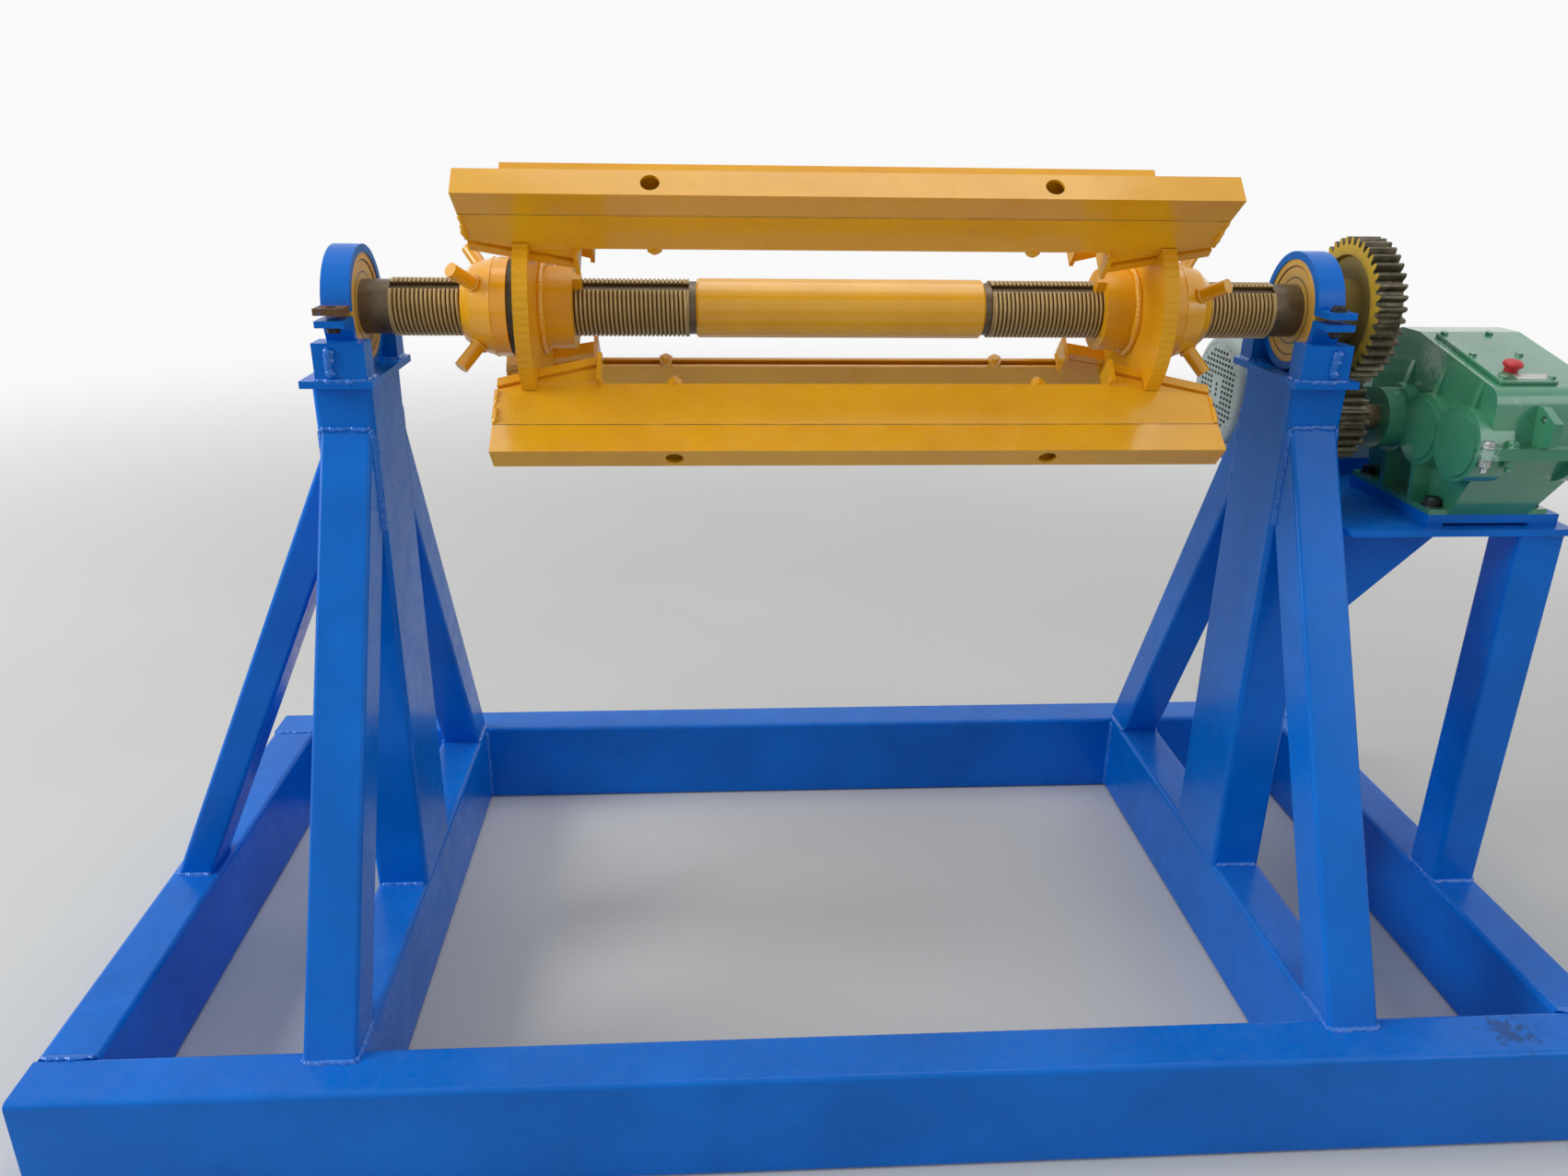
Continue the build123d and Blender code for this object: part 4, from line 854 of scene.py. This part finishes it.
def frame_beads():
    """Beads where the cross beams meet the long beams, and where the brace stands."""
    beads = []
    machine_end, brace_tube = 1.06, 50 * MM
    for name in ("beam_end_left", "beam_cross_left", "beam_cross_right", "beam_end_right"):
        low, high = box_edges(name)
        for y, end in two_sides(low, high, 1):
            path = [(low[0] + 5 * MM, y, high[2]), (high[0] - 5 * MM, y, high[2])]
            beads.append(weld_bead(path, UP, 40, 0.8))
            beads += [weld_bead([(x, y, low[2] + 4 * MM), (x, y, high[2] - 6 * MM)], (out, -end, 0), 41)
                      for x, out in two_sides(low, high, 0) if abs(x) < machine_end]
    low, high = box_edges("brace_left")
    lean = atan2(high[0] - low[0], high[2] - low[2])
    foot = low[0] + brace_tube / cos(lean)
    rise = brace_tube / sin(lean)
    for y, out in two_sides(low, high, 1):
        beads += [weld_bead([(low[0], y, low[2]), (foot, y, low[2])], (0, out, 1), 50),
                  weld_bead([(high[0], y, high[2] - rise), (high[0], y, high[2])], (-1, out, 0), 51)]
    for (x, _, z), seed in ((low, 52), (high, 53)):
        beads.append(weld_bead([(x, low[1], z), (x, high[1], z)], (-1, 0, 1), seed))
    return beads


def platform_beads():
    """Beads of the post, the gusset and the platform plate."""
    low, high = box_edges("platform_post")
    beads = rectangle_beads(low, high, low[2], 1, 60) + rectangle_beads(low, high, high[2], -1, 64, 0.9)
    low, high = box_edges("platform_gusset")
    for y, out in two_sides(low, high, 1):
        beads += [weld_bead([(low[0], y, low[2] + 4 * MM), (low[0], y, high[2])], (1, out, 0), 70, 0.9),
                  weld_bead([(low[0], y, high[2]), (high[0] - 4 * MM, y, high[2])], (0, out, -1), 71, 0.9)]
    low, high = box_edges("platform_plate")
    path = [(low[0], corner[1], high[2]) for corner in box_edges("column_right")]
    return beads + [weld_bead(path, (1, 0, 1), 72)]


class DECOILER_OT_frame_welds(bpy.types.Operator):
    """Lays painted weld beads at the frame's joints"""

    bl_idname = "decoiler.frame_welds"
    bl_label = "Frame welds"

    def execute(self, context):
        sets = {f"pedestal_{side}": pedestal_beads(side, sign) for side, sign in SIDES.items()}
        sets.update(base=frame_beads(), platform=platform_beads())
        for name, beads in sets.items():
            put_piece(f"weld_beads_{name}", beads, "blue_weld", "frame", sharp=70)
        return {"FINISHED"}


# Mandrel


def petal_shift(label):
    """How far the middle of a petal sits from the middle of the mandrel."""
    low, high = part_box(f"petal_{label}")
    return (low[0] + high[0]) / 2


def around(x, radius, across, turn):
    """Point from its place along the mandrel, its distance outward and its distance across a petal."""
    angle = radians(turn)
    return np.array([x, SPIN.y + radius * cos(angle) + across * sin(angle),
                     SPIN.z + radius * sin(angle) - across * cos(angle)])


def outward(turn):
    """Unit vector from the spindle towards a petal."""
    return np.array([0.0, cos(radians(turn)), sin(radians(turn))])


def petal_beads(turn, shift, m, half):
    """Beads of one petal: the edges of its ends, the rails along the inner edge and the stop plates."""
    beads = []
    axis = np.array(SPIN)
    rise = tan(m.wedge)
    plate_inset, past_stop, stop_half = 2 * MM, 6 * MM, 18 * MM
    for sign in (-1, 1):
        end = sign * (m.half - plate_inset) + shift
        low = m.rail + rise * (abs(end) - m.plate)
        low_half = m.inner_half + (m.fold_half - m.inner_half) * (low - m.inner) / (m.fold - m.inner)
        meet = m.plate + (m.inner - m.rail) / rise
        for side in (-1, 1):
            square = around(0, 0, side, turn) - axis
            facing = square + (0.8 * sign, 0, 0)
            path = [around(end, m.fold, side * m.fold_half, turn), around(end, low, side * low_half, turn)]
            beads.append(weld_bead(path, facing, 80 + side, 1.0, 1.3, 0.5, half))
            seam = side * (m.inner_half - 0.4 * MM)
            path = [around(sign * (m.stop + past_stop) + shift, m.inner, seam, turn),
                    around(sign * meet, m.inner, seam, turn)]
            beads.append(weld_bead(path, square, 83 + side, 1.0, 0.7, 0.3, 1.6 * MM))
        path = [around(end, low, -low_half, turn), around(end, low, low_half, turn)]
        beads.append(weld_bead(path, -outward(turn), 86, 0.7, 1.0, 0.3, half))
        path = [around(sign * m.stop + shift, m.inner, across, turn) for across in (-stop_half, stop_half)]
        beads.append(weld_bead(path, outward(turn) - (sign, 0, 0), 87, 0.8, 1.0, 0.35, half))
    return beads


def nut_beads(side, sign, m):
    """Raised line round a nut, and the bead round the root of each of its four handles."""
    beads = [ring_bead((sign * m.collar, SPIN.y, SPIN.z), ALONG, m.collar_radius, 1.8 * MM, 9 * MM, 95)]
    lift, radius, half, ripple = 11.6 * MM, 10.4 * MM, 2.6 * MM, 4 * MM
    first = m.handle_left if side == "left" else m.handle_right
    for k in range(4):
        turn = first + pi / 2 * k
        along = np.array([sign * sin(m.handle_tilt), cos(turn) * cos(m.handle_tilt),
                          sin(turn) * cos(m.handle_tilt)])
        base = np.array([sign * m.handle, SPIN.y + m.handle_radius * cos(turn),
                         SPIN.z + m.handle_radius * sin(turn)])
        beads.append(ring_bead(base + along * lift, along, radius, half, ripple, 91 + k))
    return beads


class DECOILER_OT_mandrel_welds(bpy.types.Operator):
    """Lays rough weld beads on the petals, carriers and nuts"""

    bl_idname = "decoiler.mandrel_welds"
    bl_label = "Mandrel welds"

    def execute(self, context):
        m = settings().mandrel
        for label, turn in PETALS.items():
            put_piece(f"weld_beads_petal_{label}",
                      petal_beads(turn, petal_shift(label), m, settings().weld.mandrel), "yellow_weld",
                      f"petal_{label}", sharp=70)
        for side, sign in SIDES.items():
            bead = ring_bead((sign * (m.plate - 13 * MM), SPIN.y, SPIN.z), ALONG, m.sleeve + 3 * MM, 5.5 * MM,
                             7 * MM, 90, rough=0.25)
            put_piece(f"weld_bead_carrier_{side}", [bead], "yellow_weld", f"carrier_{side}",
                      sharp=70)
            put_piece(f"weld_beads_nut_{side}", nut_beads(side, sign, m), "yellow_weld", f"nut_{side}",
                      sharp=70)
        return {"FINISHED"}


class DECOILER_OT_petal_nuts(bpy.types.Operator):
    """Puts the nuts and bolt ends at the petals' inner edges, in line with the round holes"""

    bl_idname = "decoiler.petal_nuts"
    bl_label = "Petal nuts"

    def execute(self, context):
        f, m = settings().fastener, settings().mandrel
        height, tail = 9 * MM, 6 * MM
        for label, turn in PETALS.items():
            parts = []
            for sign in (-1, 1):
                edge = around(sign * m.hole + petal_shift(label), m.inner, 0, turn)
                inward = -outward(turn)
                parts += [hex_head(edge, inward, f.petal, height),
                          threaded_end(edge + inward * height, inward, f.petal * 0.31, tail)]
            put_piece(f"petal_nuts_{label}", parts, "yellow", f"petal_{label}")
        return {"FINISHED"}


# Housings and gearbox


class DECOILER_OT_housing_bolts(bpy.types.Operator):
    """Puts a small bolt through each ear of the bearing housings, from below at the left one"""

    bl_idname = "decoiler.housing_bolts"
    bl_label = "Housing bolts"

    def execute(self, context):
        flats = settings().fastener.housing
        ear, ear_reach = 12.5 * MM, 102 * MM
        over = np.array([0, 0, 2 * ear])
        for side in SIDES:
            low, high = box_edges(f"housing_cap_{side}")
            parts = []
            for end in (-1, 1):
                place = np.array([(low[0] + high[0]) / 2, end * ear_reach, SPIN.z - ear])
                if side == "left":
                    parts += [bolt(place, (0, 0, -1), flats, head=0.4),
                              round_disc(place + over, UP, flats * 0.32, 1 * MM)]
                else:
                    parts.append(bolt(place + over, UP, flats, 2 * ear, 3 * MM, head=0.36, nut=0.4))
            put_piece(f"housing_bolts_{side}", parts, "black", "frame")
        return {"FINISHED"}


def on_cover(x, y):
    """Point on top of the inspection cover, and the slope's normal."""
    run, fall, ridge, cover = 205 * MM, 48 * MM, 128 * MM, 6 * MM
    normal = np.array([0.0, -fall, run]) / np.hypot(run, fall)
    split = box_edges("gearbox_upper")[0][2]
    return np.array([x, y, split + ridge + fall / run * y]) + normal * cover, normal


class DECOILER_OT_gearbox_fasteners(bpy.types.Operator):
    """Bolts the gearbox joint, its feet and its inspection cover"""

    bl_idname = "decoiler.gearbox_fasteners"
    bl_label = "Gearbox fasteners"

    def execute(self, context):
        f = settings().fastener
        low, high = box_edges("gearbox_upper")
        edge, flange, seat_offset, side_y = 9 * MM, 8 * MM, 52 * MM, 0.06
        left, right, middle = low[0] + edge, high[0] - edge, (low[0] + high[0]) / 2
        rows = (-0.223, 0.106)
        corners = [(x, y) for x in (left, right) for y in rows]
        joint = [(middle + dx, y) for dx in (-seat_offset, seat_offset) for y in rows]
        joint += [(x, side_y) for x in (left + MM, right - MM)]
        for name, places, finish, slot in (("gearbox_corner_bolts", corners, "zinc", "machined_steel"),
                                           ("gearbox_joint_bolts", joint, "green", "painted_green")):
            parts = [bolt((x, y, low[2] + flange), UP, f.flange, grip=2 * flange, tail=8 * MM)
                     for x, y in places]
            put_piece(name, parts, finish, "frame")
        low, high = box_edges("gearbox_lower")
        foot, inset = 8 * MM, 20.5 * MM
        parts = [bolt((x, y, low[2] + foot), UP, f.foot) for x in (low[0] + inset, high[0] - inset)
                 for y in (-0.112, 0.064)]
        put_piece("gearbox_foot_bolts", parts, "black", "frame")
        low, high = box_edges("inspection_cover")
        screws = [hex_head(*on_cover(x, y), f.small, 4 * MM) for x in (low[0] + foot, high[0] - foot)
                  for y in (-0.174, -0.099, -0.024)]
        put_piece("cover_screws", screws, "green", "frame")
        return {"FINISHED"}


class DECOILER_OT_breather(bpy.types.Operator):
    """Makes the ribbed breather cap and the blank plate on the inspection cover"""

    bl_idname = "decoiler.breather"
    bl_label = "Breather and blank plate"

    def execute(self, context):
        place, normal = on_cover(0.913, -0.150)
        neck, rim, dome = ([(a * MM, r * MM) for a, r in rows] for rows in (
            [(0, 0), (0, 9), (8, 9), (8, 0)],
            [(7, 0), (7, 12), (8, 12.8), (11.5, 12.8), (12, 12), (12, 0)],
            [(10, 0), (10, 11.8)] + [(12 + 3.6 * sin(a), 11.8 * cos(a)) for a in np.linspace(0, pi / 2, 9)]))
        parts = [turned(place, normal, neck, 32),
                 turned(place, normal, rim, 96, lambda t: 1 + 0.015 * np.cos(24 * t)),
                 turned(place, normal, dome, 48)]
        put_piece("breather_cap", parts, "red", "frame", replaces=["breather"])
        rows = [(0, 0), (0, 1), (0.6 * MM, 1), (0.8 * MM, 0.98), (0.8 * MM, 0)]
        plate = turned(*on_cover(0.932, -0.170), rows, 64, rounded_rectangle(8.5 * MM, 25 * MM))
        put_piece("blank_plate", [plate], "plate", "frame")
        return {"FINISHED"}


# Motor


def box_faces(rows, columns):
    """Faces of a thin plate made of a front and a back grid, with its four edges closed."""
    front = grid_faces(rows, columns)
    count = rows * columns
    border = np.concatenate([np.arange(columns), np.arange(1, rows) * columns + columns - 1,
                             (rows - 1) * columns + np.arange(columns - 2, -1, -1),
                             np.arange(rows - 2, 0, -1) * columns])
    following = np.roll(border, -1)
    edge = np.stack([border, following, following + count, border + count], 1)
    return np.concatenate([front, front[:, ::-1] + count, edge])


def cowl_sheet(centre, face, radius, pitch, hole, thickness):
    """Round sheet with rows of oblong holes; pitch and hole hold the sizes along Y and along Z.

    Lines stand at both sides of every row and column of holes. A cell between them is open where it lies in a
    hole band both ways, clear of the blank ring round the middle and of the margin. Corners that lie past
    the radius are drawn in to the circle, and each cell that stays has a front, a back and its open sides.
    """
    margin, blank_low, blank_high, snap = 8 * MM, 12 * MM, 23 * MM, 1.5 * MM

    def lines(pitch, hole):
        count = int(radius / pitch) + 1
        middle = np.arange(-count, count + 1) * pitch
        return np.sort(np.concatenate([middle - hole / 2, middle + hole / 2]))

    y, z = (lines(*sizes) for sizes in zip(pitch, hole))
    grid_y, grid_z = np.meshgrid(y, z, indexing="ij")
    cell_y = (grid_y[:-1, :-1] + grid_y[1:, 1:]) / 2
    cell_z = (grid_z[:-1, :-1] + grid_z[1:, 1:]) / 2
    reach = np.hypot(cell_y, cell_z)
    i, j = np.indices(cell_y.shape)
    is_open = ((i % 2 == 0) & (j % 2 == 0) & (reach < radius - margin)
               & ((reach < blank_low) | (reach > blank_high)))
    keep = (reach < radius) & ~is_open
    distance = np.hypot(grid_y, grid_z)
    pull = np.where(distance > radius - snap, radius / np.maximum(distance, 1e-9), 1.0)
    flat = np.stack([np.full(grid_y.shape, face), centre[1] + grid_y * pull, centre[2] + grid_z * pull], -1)
    back = flat + np.array([thickness, 0, 0])
    points = np.concatenate([flat.reshape(-1, 3), back.reshape(-1, 3)])
    quads = grid_faces(len(y), len(z)).reshape(*cell_y.shape, 4)
    count = flat.size // 3
    faces = [quads[keep], quads[keep][:, ::-1] + count]
    padded = np.pad(keep, 1)
    for axis, step, pair in ((0, -1, (0, 1)), (0, 1, (3, 2)), (1, -1, (0, 3)), (1, 1, (1, 2))):
        other = np.roll(padded, -step, axis=axis)[1:-1, 1:-1]
        rim = quads[keep & ~other][:, pair]
        faces.append(np.stack([rim[:, 0], rim[:, 1], rim[:, 1] + count, rim[:, 0] + count], 1))
    faces = np.concatenate(faces)
    used, renumbered = np.unique(faces, return_inverse=True)
    return points[used], renumbered.reshape(faces.shape)


def fan_blade(hub, turn, tip):
    """Thin flat blade that leans a little to one side, as a grid of places outward and along the shaft."""
    out, side = np.array([0, cos(turn), sin(turn)]), np.array([0, -sin(turn), cos(turn)])
    s, depth = np.linspace(18 * MM, tip, 6), np.linspace(12 * MM, 40 * MM, 4)
    lean = side[None, None, :] * (s[:, None, None] * 0.08)
    points = hub + s[:, None, None] * out + lean + depth[None, :, None] * np.array([1, 0, 0])
    thick = side * 1.2 * MM
    return np.concatenate([(points + thick).reshape(-1, 3), (points - thick).reshape(-1, 3)]), box_faces(6, 4)


class DECOILER_OT_motor(bpy.types.Operator):
    """Makes the motor's perforated fan cowl and the fan behind it"""

    bl_idname = "decoiler.motor"
    bl_label = "Motor cowl"

    def execute(self, context):
        low, high = box_edges("motor_fan_cowl")
        centre, radius, reach = (low + high) / 2, (high[2] - low[2]) / 2, high[0] - low[0]
        wall, bend, inner_bend, pattern = 2 * MM, 9 * MM, 7 * MM, radius - 13 * MM
        hub = np.array([low[0], centre[1], centre[2]])
        rows = [(0, pattern), (0, radius - bend)]
        rows += [(bend * (1 - sin(a)), radius - bend + bend * cos(a)) for a in np.linspace(pi / 2, 0, 7)]
        rows += [(reach, radius), (reach, radius - wall), (bend, radius - wall)]
        rows += [(wall + inner_bend * (1 - cos(a)), radius - wall - inner_bend + inner_bend * sin(a))
                 for a in np.linspace(pi / 2, 0, 6)]
        rows += [(wall, pattern), (0, pattern)]
        sheet = cowl_sheet(centre, low[0] + 0.02 * MM, pattern + 0.4 * MM, (12 * MM, 9 * MM),
                           (8.5 * MM, 5.4 * MM), wall)
        put_piece("perforated_fan_cowl", [turned(hub, ALONG, rows, 96), sheet], "grey", "frame",
                  replaces=["motor_fan_cowl"], sharp=40)
        parts = [fan_blade(hub, 2 * pi * k / 8, pattern - 4 * MM) for k in range(8)]
        rows = [(a * MM, r * MM) for a, r in ((0, 0), (0, 18), (2, 20), (36, 20), (36, 0))]
        parts.append(turned(hub + (8 * MM, 0, 0), ALONG, rows, 32))
        put_piece("cooling_fan", parts, "black", "frame")
        return {"FINISHED"}


class DECOILER_OT_stage(bpy.types.Operator):
    """Sets the floor, the soft light and the camera"""

    bl_idname = "decoiler.stage"
    bl_label = "Studio"

    def execute(self, context):
        s, scene = settings().stage, context.scene
        scene.view_settings.view_transform = "Standard"
        size = 30.0
        mesh = bpy.data.meshes.new("studio_floor")
        mesh.from_pydata([(-size, -size, 0), (size, -size, 0), (size, size, 0), (-size, size, 0)], [],
                         [(0, 1, 2, 3)])
        floor = bpy.data.objects.new("studio_floor", mesh)
        made, tree, place, _ = blank("pale_studio_floor")
        tint = add(tree, NOISE, {"Vector": place, "Scale": 1.2})
        colour = add(tree, MIX, {0: tint, 1: linear(s.floor), 2: linear("DADAD6")})
        matte = add(tree, SHADER, {"Base Color": colour, "Roughness": 0.85})
        white = add(tree, "ShaderNodeEmission", {"Color": (1, 1, 1, 1), "Strength": s.backdrop})
        reach = add(tree, VECTOR, {0: place}, "Value", operation="LENGTH")
        far = add(tree, SPREAD, {"Value": reach, "From Min": 1.5, "From Max": 6.5},
                  interpolation_type="SMOOTHSTEP")
        rays = add(tree, "ShaderNodeLightPath", out=None).outputs
        fade = add(tree, MATH, {0: far, 1: rays["Is Camera Ray"]}, operation="MULTIPLY")
        mixed = add(tree, "ShaderNodeMixShader", {0: fade, 1: matte, 2: white})
        add(tree, OUTPUT, {"Surface": mixed}, out=None)
        mesh.materials.append(made)
        scene.world = bpy.data.worlds.new("studio_world")
        scene.world.use_nodes = True
        tree = scene.world.node_tree
        tree.nodes.clear()
        rays = add(tree, "ShaderNodeLightPath", out=None).outputs
        mirrored = add(tree, MATH, {0: rays["Is Glossy Ray"], 1: rays["Is Transmission Ray"]},
                       operation="MAXIMUM")
        seen = add(tree, MATH, {0: rays["Is Camera Ray"], 1: mirrored}, operation="MAXIMUM")
        white = add(tree, "ShaderNodeBackground", {"Color": (1, 1, 1, 1), "Strength": s.backdrop})
        soft = add(tree, "ShaderNodeBackground", {"Color": (0.95, 0.97, 1, 1), "Strength": s.ambient})
        mixed = add(tree, "ShaderNodeMixShader", {0: seen, 1: soft, 2: white})
        add(tree, "ShaderNodeOutputWorld", {"Surface": mixed}, out=None)
        lamps = []
        for name, power, place, width in (("key_lamp", s.key, (-5.4, -1.0, 3.4), 2.8),
                                          ("fill_lamp", s.fill, (3.4, -2.6, 2.8), 2.4),
                                          ("top_lamp", s.top, (0.4, 0.8, 5.2), 3.4)):
            data = bpy.data.lights.new(name, "AREA")
            data.energy, data.size = power, width
            lamp = bpy.data.objects.new(name, data)
            lamp.location = place
            towards = Vector((0, 0, 0.8)) - lamp.location
            lamp.rotation_euler = towards.to_track_quat("-Z", "Y").to_euler()
            lamps.append(lamp)
        data = bpy.data.cameras.new("photo_camera")
        data.sensor_fit, data.sensor_width, data.clip_start = "HORIZONTAL", 36, 0.01
        data.lens = data.sensor_width * s.focal / s.picture_width
        camera = bpy.data.objects.new("photo_camera", data)
        forward = Vector((sin(s.yaw) * cos(s.pitch), cos(s.yaw) * cos(s.pitch), -sin(s.pitch)))
        right = Vector((cos(s.yaw), -sin(s.yaw), 0))
        up = right.cross(forward)
        rolled = (right * cos(s.roll) + up * sin(s.roll), up * cos(s.roll) - right * sin(s.roll), -forward)
        camera.matrix_world = Matrix.Translation(Vector(s.eye)) @ Matrix(rolled).transposed().to_4x4()
        for item in (floor, *lamps, camera):
            scene.collection.objects.link(item)
        scene.camera = camera
        return {"FINISHED"}


OPERATORS = (DECOILER_OT_stage, DECOILER_OT_paint, DECOILER_OT_spindle, DECOILER_OT_frame_welds,
             DECOILER_OT_mandrel_welds, DECOILER_OT_housing_bolts, DECOILER_OT_petal_nuts,
             DECOILER_OT_gearbox_fasteners, DECOILER_OT_breather, DECOILER_OT_motor)


class DECOILER_PT_panel(bpy.types.Panel):
    """Lists the steps and their settings"""

    bl_label = "Decoiler"
    bl_idname = "DECOILER_PT_panel"
    bl_space_type = "VIEW_3D"
    bl_region_type = "UI"
    bl_category = "Decoiler"

    def draw(self, context):
        for group in DecoilerSettings.__annotations__:
            box = self.layout.box()
            box.label(text=group.capitalize())
            values = getattr(context.scene.decoiler, group)
            for name in values.__annotations__:
                box.prop(values, name)
        for operator in OPERATORS:
            self.layout.operator(operator.bl_idname)


CLASSES = (PaintSettings, ThreadSettings, MandrelSettings, WeldSettings, FastenerSettings, StageSettings,
           DecoilerSettings, *OPERATORS, DECOILER_PT_panel)


def register():
    """Registers the classes and puts the settings on the scene."""
    for item in CLASSES:
        bpy.utils.register_class(item)
    bpy.types.Scene.decoiler = PointerProperty(type=DecoilerSettings)


def unregister():
    """Takes the settings and classes away again."""
    del bpy.types.Scene.decoiler
    for item in reversed(CLASSES):
        bpy.utils.unregister_class(item)


def main():
    """Dresses the part step by step."""
    register()
    for operator in OPERATORS:
        group, name = operator.bl_idname.split(".")
        getattr(getattr(bpy.ops, group), name)()


if __name__ == "__main__":
    main()
